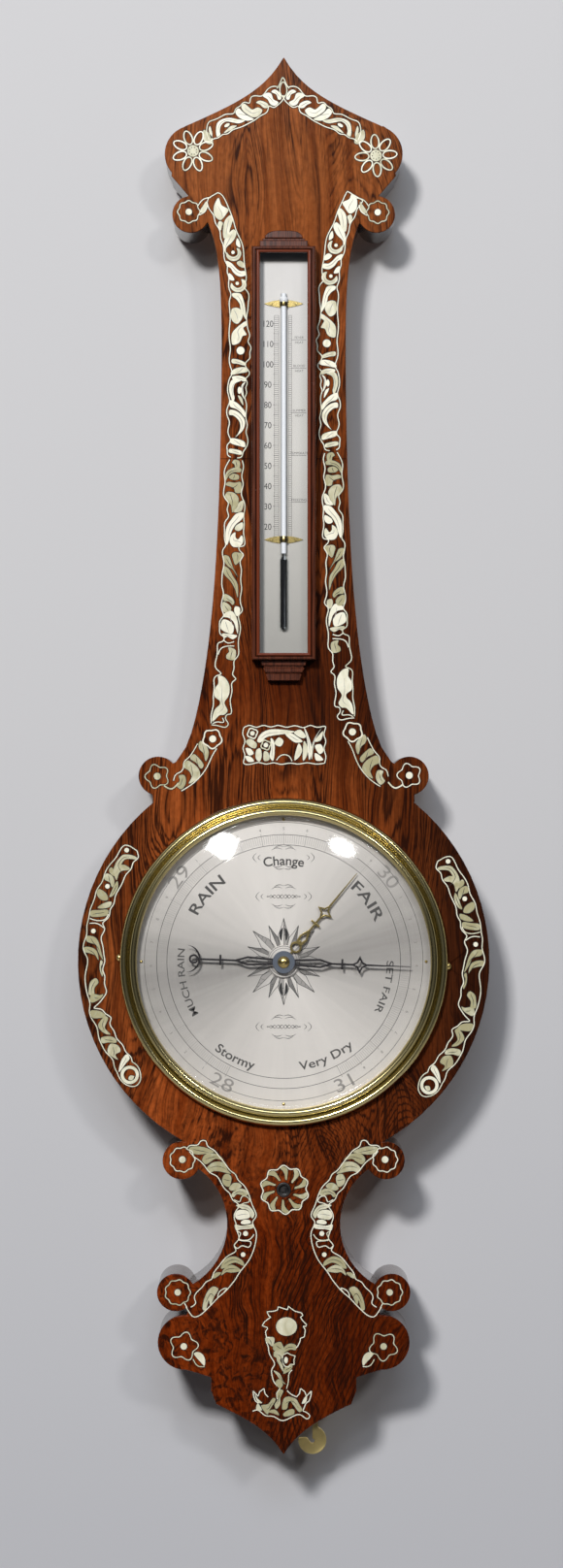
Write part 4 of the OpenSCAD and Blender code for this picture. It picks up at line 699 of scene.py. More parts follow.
def silvered():
    """Silvered brass: fine brushing in rings about the dial's middle, as noise on the radius, and a painted
    sheen in the colour for the gleam that such brushing throws: four soft fans, bright above and below, dull
    at both sides.
    Painted light also lifts the lower right and darkens the upper left."""
    own = settings("dial")
    f = Finish("silvered_brass", metallic=0.30, specular_ior_level=0.3)
    x, _, z = f.axes()
    up = z - DIAL_Z
    radius = (x * x + up * up) ** 0.5
    turn = f.add("ShaderNodeMath", {"operation": "ARCTAN2"}, {0: x, 1: up})
    rings, rays = (f.add("ShaderNodeCombineXYZ", None, {0: first, 1: second, 2: 0.0})
                   for first, second in ((radius, turn), (turn, radius)))
    brush = f.noise((4200, 2.0, 1), 2.0, 0.6, at=rings)
    ray = f.noise((7.0, 6.0, 1), 3.0, 0.6, at=rays)
    cloud = f.noise(22, 4.0, 0.6)
    # Painted sheen: the brushing's gleam put into the colour as four fans.
    fan = f.wave(turn * 2.0 + 0.36, "COSINE") ** 0.75
    painted_sheen = fan * 0.80 + (ray - 0.5) * 0.35 + (brush - 0.5) * 0.16 + (cloud - 0.5) * 0.2 + 0.1
    # Painted light: lighter towards the lower right, darker towards the upper left.
    painted_sheen = painted_sheen + x * 0.35 - up * 0.7
    stops = ((0.0, 0.42), (0.5, 0.80), (1.0, 1.06))
    tint = f.ramp(painted_sheen, *((place, times(own.silver, share)) for place, share in stops))
    f.set(base_color=tint, roughness=0.42 + (brush - 0.5) * 0.1)
    return f.set(normal=f.bump(brush, 0.2, 0.03)).material


def plate_silver():
    """Silvered scale plate with upright brushing, with painted light, darker towards the foot and brighter
    towards the top, and a painted shadow under the box's top rail.
    """
    own = settings("dial")
    f = Finish("silvered_plate", metallic=0.12, specular_ior_level=0.3)
    brush = f.noise((2600, 100, 14), 2.0)
    cloud = f.noise(30, 3.0)
    silver = times(own.silver, (0.86, 0.885, 0.91))
    tint = f.blend(f.step(cloud, 0.45, 0.8) * 0.2, silver, times(silver, 0.85))
    z = f.axes()[2]
    # Painted light: the plate is darker towards the foot and brighter towards the top.
    height = f.step(z, DIAL_Z + 0.21, DIAL_Z + 0.48)
    dull = f.ramp(height, (0.0, (0.55, 0.545, 0.52)), (0.5, (0.88, 0.87, 0.84)), (1.0, (0.89, 0.885, 0.89)))
    tint = f.blend(1.0, tint, dull, "MULTIPLY")
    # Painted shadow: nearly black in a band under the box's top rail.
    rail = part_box("thermometer_frame")[1][2] - 0.0046
    soil_and_shadow = f.step(z, rail - 0.0060, rail - 0.0036, 0.0, 0.86)
    f.set(base_color=f.blend(soil_and_shadow, tint, (0.02, 0.016, 0.012)), roughness=0.46 + (brush - 0.5) * 0.12)
    return f.set(normal=f.bump(brush, 0.15, 0.03)).material


def enamel_glass():
    """Thermometer glass: white-backed above the bulb, clear round it. The white is greyed towards the tube's
    sides as painted shade.
    """
    f = Finish("thermometer_glass", roughness=0.12, specular_ior_level=0.6)
    x, _, z = f.axes()
    # Painted shade: grey towards the tube's sides.
    edge = f.step(abs(x), 0.0009, 0.0019)
    f.set(base_color=f.blend(edge, (0.95, 0.97, 0.99), (0.46, 0.48, 0.49)))
    backed = f.step(z, DIAL_Z + 0.2790, DIAL_Z + 0.2796)
    return f.end(f.shade(backed, f.glass((0.93, 0.95, 0.95), 0.03, 1.5), f.body))


def sealed_end():
    """Solid glass at the tube's end: pale, with painted shade on its lower side."""
    f = Finish("sealed_glass", roughness=0.08, specular_ior_level=0.7)
    # Painted shade: the ball's lower side is darker.
    low = f.step(f.axes()[2] - DIAL_Z, 0.4545, 0.4505)
    return f.set(base_color=f.blend(low * 0.5, (0.95, 0.96, 0.97), (0.45, 0.46, 0.46))).material


def wax():
    """Black filling, worn in places; a piece's tone above a half runs it on to the silver's grey."""
    own = settings("dial")
    f = Finish("black_wax", specular_ior_level=0.3)
    worn = f.noise(420, 3.0)
    base = f.blend(f.step(worn, 0.5, 0.75) * 0.5, own.wax, times(own.wax, 5))
    return f.set(base_color=f.blend(f.step(f.tone(), 0.5, 1.0), base, times(own.silver, 0.66)),
                 roughness=0.5 + worn * 0.2).material


def clear(name, tint, gloss, see):
    """Clear glass and nothing else."""
    f = Finish(name)
    f.end(f.glass(tint, gloss, see))
    f.tree.nodes.remove(f.shader)
    return f.material


def quicksilver():
    """Mercury, a little dulled in clouds."""
    f = Finish("mercury", metallic=1.0, base_color=(0.62, 0.63, 0.66, 1))
    return f.set(roughness=0.15 + f.noise(120, 2.0) * 0.06).material


def bulb():
    """Mercury behind thick glass: dark, with a painted highlight: a pale upright strip near its right side.
    """
    f = Finish("bulb_mercury", roughness=0.25, specular_ior_level=0.4)
    # Painted highlight: a pale upright strip in the colour.
    gleam = f.step(abs(f.axes()[0] - 0.0009), 0.0008, 0.0003) * 0.9
    return f.set(base_color=f.blend(gleam, (0.008, 0.008, 0.009), (0.75, 0.76, 0.78))).material


def ebony():
    """Black wood with a faint brown grain along the height."""
    f = Finish("ebony", specular_ior_level=0.5)
    grain = f.noise((600, 600, 60), 3.0)
    return f.set(base_color=f.ramp(grain, (0.35, (0.004, 0.004, 0.004)), (0.7, (0.022, 0.017, 0.014))),
                 roughness=0.28 + grain * 0.2).material


def silk():
    """Twisted cord: slanted stripes of light and dark."""
    f = Finish("silk_cord", specular_ior_level=0.3, sheen_weight=0.3, roughness=0.7)
    x, y, z = f.axes()
    twist = f.wave(z * 9000 + x * 6000 + y * 6000)
    f.set(base_color=f.blend(twist, (0.05, 0.06, 0.035), (0.16, 0.18, 0.11)))
    return f.set(normal=f.bump(twist, 0.4, 0.2)).material


def cork():
    """Cork: coarse brown grain, a little rough to the touch."""
    f = Finish("cork", specular_ior_level=0.2, roughness=0.8)
    grain = f.noise(420, 5.0, 0.7)
    f.set(base_color=f.ramp(grain, (0.35, (0.12, 0.06, 0.03)), (0.7, (0.45, 0.28, 0.15))))
    return f.set(normal=f.bump(grain, 0.5, 0.3)).material


MAKERS = {
    "rosewood": rosewood, "moulding": moulding, "stained": stained, "board": bare_board, "pearl": pearl,
    "blued": blued, "silvered": silvered, "plate": plate_silver, "wax": wax, "mercury": quicksilver,
    "bulb": bulb, "ebony": ebony, "silk": silk, "cork": cork, "seal": sealed_end, "stem": enamel_glass,
    "dome": lambda: clear("dome_glass", (1.0, 1.0, 1.0), 0.055, 1.0),
    "tube": lambda: clear("tube_glass", (0.90, 0.93, 0.93), 0.03, 1.6),
}


# ---- the inlay's drawings: millimetres along and across a band, or right of and above the dial's middle

DRAWINGS = {
    "trunk": """
line 2,-4.5 -0.6,-1 -0.8,3 0.6,5.6 6,7 12,6.5 20,6 28,5.5 34,6.5 38,7 47,6.2 55,6 62,5.5 66,4.2 68,5.5 \
71,7 76,6.5 82,5.8 86,5 90,5.2 95,6 99,7 103,6 107,8 110,7.2 114,7.2 116,5.5 118,4.2 121,5.2 123.5,7 \
126,6.6 128,4.8 131,5.8 134,5 138,5.6 141,4.6 144,5.4 150,5.8 156,6 160,7 164,6.4 168,7.5 172,8 176,6.5 \
178.5,5.2 181.5,4.4 182.5,1.5
line 2,-4.5 6,-5.5 12,-5 18,-6 24,-5.2 30,-6.2 35,-5.8 40,-6.5 47,-6.6 50,-5.8 54,-6.4 58,-5.8 62,-6.2 \
67,-6 70,-5.2 74,-6.3 80,-6.5 88,-6.3 95,-7 102,-6.8 108,-6.2 114,-6.8 120,-6 125,-4.8 128,-6.2 132,-7.2 \
137,-7.4 141,-6.4 144,-5.8 148,-7 154,-7 158,-5.4 164,-6 168,-5 171,-3.8 174,-5.8 178,-5.6 181,-5 182.3,-3
pale 4,3.5 7,-1.5 12,-4 16,-3 17,-1 15,3 13,5.5 9,3
pale 17.5,5 19,1 22,-1.5 27,-3.5 30,-3.5 28,0 25,2 22,4.5 20,6
pale 18,-3 20,-1.5 22,-3 24,-4.5 20,-5
pale 27,3.5 30,4.5 34,1 37,-4 41,-5 37,-5.5 32,-4 29,-1
pale 33,4.6 36,5.6 39,5 36.6,3
pale 39.5,2.5 40.5,4.2 43.5,4.6 46.6,2.2 46.8,-2 44,-4.8 40.6,-4.4 43,-2.9 44.4,-0.6 43.6,1.9 41.5,2.6
dot 41.4,-0.4 1.2,1
pale 47,-5.5 49,-2.5 52,-0.5 54.5,2 55,5 57.5,5.5 58,1.5 55.5,-1.8 52,-3.6 50,-5.8
pale 49,1 51.5,2.6 52.6,5.2 50,5.4 48,3.4
pale 55.5,-5.2 57.5,-3.2 60.4,-2.4 60,-5 57.5,-6
pale 60.6,2.5 62,5 65.5,5.2 68.4,2 68.2,-2 65.5,-4.7 62.5,-4 64.5,-2.6 66,-0.5 65.2,2 63.4,2.8
dot 62.9,-0.4 1.2,1
pale 70,-3.5 70.5,1 73,2.5 77,3.5 82,4.2 87,4.5 84,2.5 80,1 77,0.5 74,-1.5 72,-3.8
pale 80.5,-4.5 80,-1.5 82,1.5 86,1.8 90,-1 89,-4 86,-5.5 83,-5.3
pale 89.5,4.2 92,4.8 94,2.5 98,4.5 99,2 103,0 104.5,-4 102,-5 97,-4.5 93,-1
dot 109,0.8 2.7,1
pale 115,-4.5 115.5,0 117.5,4 119,3.5 118,-1 117.5,-4.5
pale 120.5,3.5 121,-1 123,-4.5 125.5,-4.8 124.5,0 123.5,5 122,5.5
pale 127,-4 126.5,1 128,4.5 130,4 129,0 129,-3.5
dot 136.2,0.6 2.4,0.5
pale 129.5,-4 132,-5.8 136,-6.2 140,-5.2 143.5,-3.5 141,-2.6 138,-3.4 134,-3.4 131.5,-2 130,1
pale 131,4.4 134,3 138,3.4 141.5,4 138,2 134.5,1.8 132,2.6
pale 140,0 143,1.2 146,3.4 143,3 141,2
pale 143.5,-5 145,-1 148,2.5 151,4.8 154,4.6 151,1.8 149,-1 148,-4.5 146,-5.5
pale 150.5,-5 151,-1 154,3 158,5 163,3.8 167.5,-0.5 165,1 161,2.2 157,1 154,-2.5 153.5,-5.2
pale 169.5,-3 170,2 171.5,5.5 174.5,5.8 174,2 173,-2.5 171.5,-4
pale 176.8,-3.8 177,1 178,4 180,3.6 179.6,-0.5 179,-4
line 184,5 188,6.2 195,5.6 200,6.8 206,6 210,7 213,8.4 219,8.6 222,8.2 228,8.6 233,8.2 238,8.8 243,8 244,5 \
246,5.5 249,8 253,6 258,6.6 266,6.4 272,7.2 278,6.6 283,7.4 287,8.4 290,6.4 294,7 299,8.2 306,7.6 312,8 \
318,8 321,6 327,6.2 331,6 333.5,8.2 335.5,6.4 341,6.6 347,6.4 352,7.6 357,8.2 357.8,6.2 361,6 363.5,8.4 \
365.4,7.8 366.4,3 367,-2.6
line 184,-3.5 188,-5.4 193,-6.6 199,-5.6 204,-6 209,-5.8 211.5,-4.2 213.5,-2.6 218,-3.2 223,-2.2 226,-4.2 \
232,-4.8 239,-4.6 243,-4.2 245,-5.6 251,-5.8 256,-5.2 260,-6 265,-6.4 271,-6.2 276,-5 279,-5.4 284,-6 \
288,-5 291,-4 294,-5.8 300,-6 304,-5 306,-2.4 308.5,-3 310,-5.8 315,-6.2 322,-6.6 328,-5.6 331,-2.2 \
333,-5.4 340,-5.8 347,-5.4 353,-4.4 360,-4.4 366,-3
dull 184,0 185,3.2 189,3.4 189.5,1 187,0 186,-1.5
dull 189.8,4 189.6,0 192,-4.2 196,-5.6 198,-4.8 194.5,-3 192.5,0 192,4
dull 193.6,0 194.5,3.2 197,3 197.4,-1 196,-3 194.6,-2
dull 199,4.4 201,5.4 205.5,5.4 206,2 203,0.5 201.5,-4.5 199.5,-3 199.8,1
dull 206.5,-3 207,1 210,3.8 214,3.6 219.5,0.5 215,-0.6 212.5,-3 210.5,-5 208,-4.4
pale 212,7.2 216,7.4 219,6 219.5,1.8 216,3.6 213.5,4.6
pale 220.5,7 221.5,3 225,0 230,-3 236,-3.8 241.5,-3 238,-1.4 233,0 228.5,2.6 225.5,6 223,7.4
pale 227,7.2 229,3.4 231.5,2.4 232.5,5 230.5,7.4
pale 234,2.6 236,0 239.5,-1 243,1 243.2,5 241,7.2 238,7.6 236,6.6 238.5,4.4 237,2.8
dull 247.5,2.5 248.5,7 250.5,7.2 255.5,3 252,1.2 249,0.6
dull 250,-5 250.5,-2 254,-0.4 258,1 263.5,4 259,0.8 256.5,-2.6 253,-5
dull 257.5,-4.6 259.5,-1.5 264,1 269,4 277,4.4 272,2.6 267,-0.5 263,-4.4 260,-5.4
dull 276.5,-4 278,0 281,2.4 283,1.5 281,-1 280.5,-4.4
dull 282,-4.8 283,-1.6 285.5,0.6 288.5,-0.4 288.6,-3.4 286.4,-5
pale 284.5,3.6 285,6.4 288.5,6.8 290.5,5 287.5,3.2
pale 288,1.2 291,4.2 296,6 302,6.4 299,5 295,3.2 292.5,0 292,-3.4 289.8,-3
pale 294,-3.6 295,0.6 298,3.2 302.5,2.6 302,-1.5 300,-4.8 296.5,-5
pale 304,5.8 306.5,3.4 305.2,0 306,-1.8 303.6,-3.6 303.4,0.4
line 308,-2.4 309.4,0 308.2,4.6
dull 312.8,1.4 313.8,5.6 317,6.4 320.5,5.4 320,1 317.5,0.6 315.5,2
line 311.2,5 311.8,0 313.5,-3.6 318,-5.4
pale 333.8,-3.6 334.5,0.6 339,4 345,4.6 350,2.6 354.5,5.4 357.5,4 358.6,1 363.5,-2.4 358,-3 354.5,-2 \
352,-0.2 349.5,-0.6 347.2,-4.2 342,-4.6 338.5,-3
line 360.5,3.6 363,5 364,1 366,-2
ring 376,0.8 6.2,0.95 5,0.08
dot 376,1.1 2.4,1
dull 380.5,-5.4 382.5,-1 386,2 391,2.6 387.5,-1 386,-4.6 383,-6.4
dull 391.5,-5.6 393,0 394.5,2.8 397,2.6 395.8,-2 396,-6.2 393.6,-7
dull 398.5,-6.6 398.2,0 400.5,4.8 404.5,5.4 409,4 405,2 403.6,-2 404.4,-5.6 401.5,-7.4
dull 408.5,-1.6 411,2.6 415.5,4 416.5,0.4 413,-1 411.4,-3.8
line 381,6 386,5.2 394,5.8 402,6.2 410,6 416.5,5.2
line 383,-7.4 390,-7.8 396,-8.2 402,-8.4 405.5,-6 409,-5.4 412,-6 416.5,-3.6
""",
    "crest": """
line 0,-3.6 0.6,1.6 2.4,5 5.4,7.6 9,7.4 14,7 19.6,6.2 24,4.4 26.4,6 30,6.2 33.6,6.8 36,4.8 38.6,7.4 42.4,7 \
46,5 49,5.6 53,6.8 57,6 60,3
line 0,-4.6 3.4,-4.2 6.4,-4.8 10,-4.4 12.6,-5.4 16,-5 20,-5.6 23,-6.4 28,-7 34,-7.2 40,-6.6 44.6,-5.8 \
47,-3.6 48.6,-5.6 52.4,-6 56,-5.4 59.4,-3.4
pale 6.4,-3.4 7.8,0.6 10.6,4 14.6,4.6 19.4,2.8 23,-0.6 26.4,-3.8 22.4,-3.2 19.4,-0.6 16,2.2 12,1.6 \
9.6,-1.2 8.8,-3.4
pale 11.4,-3.8 14.6,-2.6 17.4,-2.2 20.4,-4 16.4,-4.4
dot 15.4,-0.2 2,0.55
pale 25,3.2 25.6,-0.6 28.4,-4.4 33,-6 30.6,-2 29.2,1.6 28.4,4.8 26.4,4.8
pale 30.8,5.2 33.2,5.6 34.4,2.4 35.8,-0.2 39.4,-0.6 41,-3.6 37.4,-5.6 33.6,-4.6 31.2,-0.6 30.2,2.4
pale 40.6,2.6 43.6,2.4 46.4,-1 46,-3.8 43.4,-2.8 42.2,0.2
pale 47,4.2 50.4,4.6 52.4,2.6 51.6,-1 53,-4.4 50.2,-5 48.4,-2.6 48.4,1
pale 53.6,3.6 56.4,3.4 57.6,0 56.2,-3.6 54.4,-2.8 55.2,0.4
pale 1.6,-2.8 3.6,-0.6 4.6,4.4 2.8,2.8
""",
    "dial": """
line 0,4 4,7.4 8,6.4 12,7.4 18,6.6 24,7 30,6.8 36,6.4 42,7 46,6 49,6.4 53,5.6 57,3.4 60,5.2 66,4 72,5.4 \
80,7 84,7.4 90,6 94,7 100,6.4 106,6.8 110,3.6 113.4,-1 115,-3.6 117,0.6 121,3 125,5.6 128,3.8 134,4.4 \
140,4.2 146,5.8 152,5.6 156,6.6 160,5.6
line 0,4 -0.4,1 0,-1 1.6,-5 6,-5.8 12,-5.4 18,-6.4 24,-6.6 30,-5.8 36,-7 42,-6.6 50,-7.2 56,-6.8 60,-7 \
66,-6.2 70,-7 76,-7.4 82,-4.4 88,-5 94,-6.4 100,-6.6 106,-6.2 112,-5.8 116,-7.2 122,-7 128,-5.6 134,-6.8 \
140,-7 146,-6.4 152,-5 156,-6.4 160,-7
dot 3.6,-2 1.6,1
dull 4.6,6.2 5,3 7.4,-1.4 10,-2.6 15,-3 20,-1.6 24,2.6 19.4,2 16.6,3.2 14.4,6.2 12.8,6 12.8,2.4 13.6,0.4 \
9.6,0.8 7.2,4 6,6.2
dull 19,-4.4 20.4,-1.2 23,0.2 22.6,-3.4 21,-5
dull 24,-5 24,-1 27,1.8 30.4,1.8 28.2,-1.2 28,-4.6 26,-5.6
dull 25.8,3.6 29.6,5.6 35,5 37.2,2.8 33,2.8 29,2.8
dot 31.4,-1.2 1.6,1
dull 35.4,-5.6 36.4,-0.4 39.8,2 41.2,-1.6 39,-5.6
dull 40.8,4.8 43,0.8 47,-2.4 46.4,1.6 44,5
dull 47,4 48.6,-1 50.4,-6 53.6,-5.4 52.8,-0.4 50.4,4.6
line 49.6,5.6 53.4,4.4 55.6,0 55.4,-6
line 58.6,-5.4 57.8,0 59.8,4.6
dot 63.2,-2 1.6,1
dull 67.4,-5.2 67.6,-0.4 71,2.6 76.4,4.4 82,5.8 77,2.8 72.4,0.6 71,-4.6 69,-5.8
dull 74.6,-6.2 74.8,-1.4 77.2,1.8 82.4,2.8 79.4,0.6 78.2,-3 77.4,-6.4
dull 83.6,4.6 84.4,6 88,5.2 92,6 94,5.2 89,4
dull 95.8,0.6 98.6,2 102,-1 106,-1.8 105.2,-5 101,-4.2 97.6,-2.8
dull 105.8,-3 107.4,1.6 107.2,4 109.6,2 111.2,-3.4 109.4,-5
dull 116.6,-6 118.6,0 122.6,2.2 122.4,-2 120.8,-6.2
dull 123,2 124.8,-1.8 127.8,-4.2 132.8,-2.2 135,1.2 130,-0.6 127,1.6 124.8,3.4
dull 135.6,-5 136.8,0.2 139.8,3 142.2,2.2 140,-2 138.8,-6
dull 142,-1 144.8,2.4 149,2.4 149.4,-1.6 153,-1.8 149.6,-4 146.6,-5.4 143.8,-4
pale 153.6,5 154.6,1 157.6,-3 160.4,-5.2 158.4,1 157,5
ring 166.4,-1 5.2,2.1 0,0
pale 167,-1.4 169,0.6 170,-2 168.4,-3.4
line 160,5.6 164,6.8 170,5.4 174,2 174.8,-2.4 171,-6.6 165,-8 160,-7
""",
    "tail": """
line -66.5,-128.5 -64.6,-126.2 -58.5,-125.2 -57,-123.1 -53.4,-122.9 -52.4,-125.7 -48.3,-128.8 -44.2,-133.4 \
-40.1,-138.5 -36,-143.6 -33.1,-145.8 -31.7,-148.7 -27.8,-152.8 -23.7,-160 -22.1,-165.1 -20.4,-169.2 \
-19,-174.8 -21.1,-177.9 -19.1,-184.5 -18.8,-189.6 -20.4,-196.8 -23.5,-204 -26.8,-208.6 -30.4,-213.2 \
-32.9,-217.3 -36,-221.4 -40.1,-226 -44.2,-229.5 -49.3,-234.7 -54.4,-239.8 -58.5,-242.8 -61.6,-243.3 \
-64.6,-240.3 -66.9,-236.7
line -64.6,-129.8 -61.6,-133.4 -57.5,-136.4 -53.4,-141 -50.3,-144.6 -46.2,-146.7 -43.2,-150.8 -40.1,-155.9 \
-37,-158.9 -35,-163 -32.5,-164.9 -30.7,-167.1 -31.7,-169.4 -32.9,-171.2 -33.9,-175.3 -32.7,-179.4 \
-31.9,-184.5 -30.7,-189.6 -32.5,-192.3 -33.9,-194.7 -32.7,-197.3 -37,-200.9 -42.1,-205.5 -45.2,-209.6 \
-48.3,-214.2 -49.3,-217.3 -52.9,-219.3 -55.4,-222.4 -59.5,-226.5 -61.1,-230.6 -60.3,-233.6 -63.6,-236.7
dull -64.1,-127.7 -59.5,-126.7 -53.4,-127.7 -48.3,-130.3 -53.4,-131.4 -58.5,-131.9 -62.6,-130.8
dull -55.4,-135.9 -53.4,-132.3 -49.3,-131.5 -45.2,-132.5 -41.9,-135.8 -46.8,-135 -50.1,-137 -53.2,-138.5
dull -52.2,-141.8 -49.3,-138.5 -45.2,-137.3 -41.1,-138.3 -38.9,-142.6 -37,-145 -43,-143.7 -47.2,-143.3 \
-50.3,-144.2
dull -41.9,-149.3 -40.3,-146 -37.4,-146 -36,-148.7 -37.4,-153.8 -40.9,-152.4
dull -37.2,-155.1 -34.4,-152 -30.7,-152 -29.4,-154.4 -34.8,-156.7
dull -35.6,-160 -33.1,-156.9 -28.8,-155.7 -24.5,-158.1 -26.6,-160.4 -31.7,-159.2 -33.9,-161.2
line -33.9,-163 -30.1,-164.3 -28.6,-161 -24.7,-161.5 -23.5,-164.1 -27.6,-165.6 -29.9,-167.1
pale -32.9,-174.5 -31.9,-171.2 -28.8,-170.2 -24.7,-171.2 -23.5,-174.8 -26.8,-176 -30.9,-176.5
pale -32.1,-167.1 -27.8,-166.4 -23.5,-167.9 -20.4,-172.4 -22.1,-175.3 -24.5,-170.4 -28.8,-169.2
pale -29.2,-178.6 -26.8,-176.8 -23.3,-177.4 -23.3,-179.2 -27.8,-179.8
pale -32.9,-180.2 -28.8,-181 -24.7,-180.4 -21.1,-180 -22.1,-182.7 -28.8,-183.2 -32.1,-183.9
dot -26.1,-186.3 1.7,1
line -31.7,-184.7 -29.6,-186.1 -30.7,-189.6 -26.8,-190.9 -22.7,-189.8 -20.4,-186.8
line -33.9,-194.7 -31.7,-196.4 -28.8,-194.7 -23.7,-195.4 -22.5,-192.3 -26.6,-191.3 -30.7,-190.7
dot -27.8,-200.7 1.6,1
dull -42.5,-209.7 -40.7,-205 -37,-202.7 -32.9,-202.5 -28.6,-205.2 -28,-208.3 -32.9,-206.2 -36.8,-207.2 \
-39.9,-209.5
dull -42.3,-214.6 -40.3,-210.3 -36,-208 -31.7,-209.7 -30.1,-211.9 -36,-212.9 -39.1,-212.6
dull -49.3,-216.2 -46.4,-213.2 -43,-213.4 -47,-216.6
dull -55.2,-237.3 -54,-230.6 -51.3,-225.4 -48.3,-223.2 -45.2,-224.8 -47.5,-229.1 -49.1,-232.8 -50.3,-235.1 \
-51.3,-232 -52.2,-234.9 -53.2,-238.1
line -45.2,-229.7 -43.2,-225.4 -39.1,-223.8 -41.1,-226.7
""",
    "waist": """
line -27.2,160.4 -23,161.8 -19,160.6 -14,161.8 -9,160.8 -4,161.8 2,160.6 8,161.6 14,160.4 18,161.8 \
23,160.6 28.6,161 27.6,156 28.8,151 27.6,146 28.8,141 28,136
line -27.2,160.4 -28,156 -26.6,151 -27.8,146 -26.6,141 -27.4,136 -22,135.4 -17,136.4 -12,135.4 -7,136.2 \
-2,135.2 4,136 10,135.4 16,136.2 22,135.4 28,136
ring -21.4,156.4 3.3,0.9 4,0.1
dot -21.4,156.4 1.6,1
ring -12.2,148.4 3.1,0.9 4,0.12
dot -12.2,148.4 1.6,1
pale -17.4,151.6 -15,156 -10,158.6 -3,158.8 6.4,157.4 0,156 -7,155 -12,153.6 -15,150.6
pale -25.6,150.6 -22.6,152.4 -18.8,149.4 -19.6,146.4 -23,147.4
pale -25.8,146 -22.4,145.4 -20.8,142.6 -24,141.6
pale -26,140.6 -22.6,140.2 -20.6,137.4 -24.4,137.2
pale -18.6,144.6 -16,145.6 -15.2,141 -16.6,137.4 -19,139.6
pale -8.8,152.4 -6.6,150 -6.4,143 -7.4,138.2 -9.6,141 -8.6,146
pale -13.4,143.6 -10.8,143 -10,138.6 -13.4,138
pale -6,149.6 -3.4,153.4 -0.4,151 -2.4,147.6
pale 1.4,156 4,153 8,150.4 12.4,151 9,154 5,156.4
pale 7.4,156.6 11.4,158.6 15,154.4 12,153.4
pale 10.2,149 12.4,145 10.6,140.6 7.6,138.4 8.2,143
pale 14,150.6 16.4,146 15.6,141 13.4,138.2 13.2,144
pale 17.6,139 19,146 17,154 14,160 16,152 16.6,144
pale 19.4,139.4 20.6,148 23,155 26,159.6 21.6,153.6 19,146
pale 21.4,151 25.4,152 26.8,157.6 23.6,154.4
pale 21.6,147.6 25.4,148.6 27,144.6 24.4,142.6
pale 21.4,142.4 24,141.6 26.8,138.4 22.4,138
line -5,138 -1,141.6 4,140.4 5.6,137.4
""",
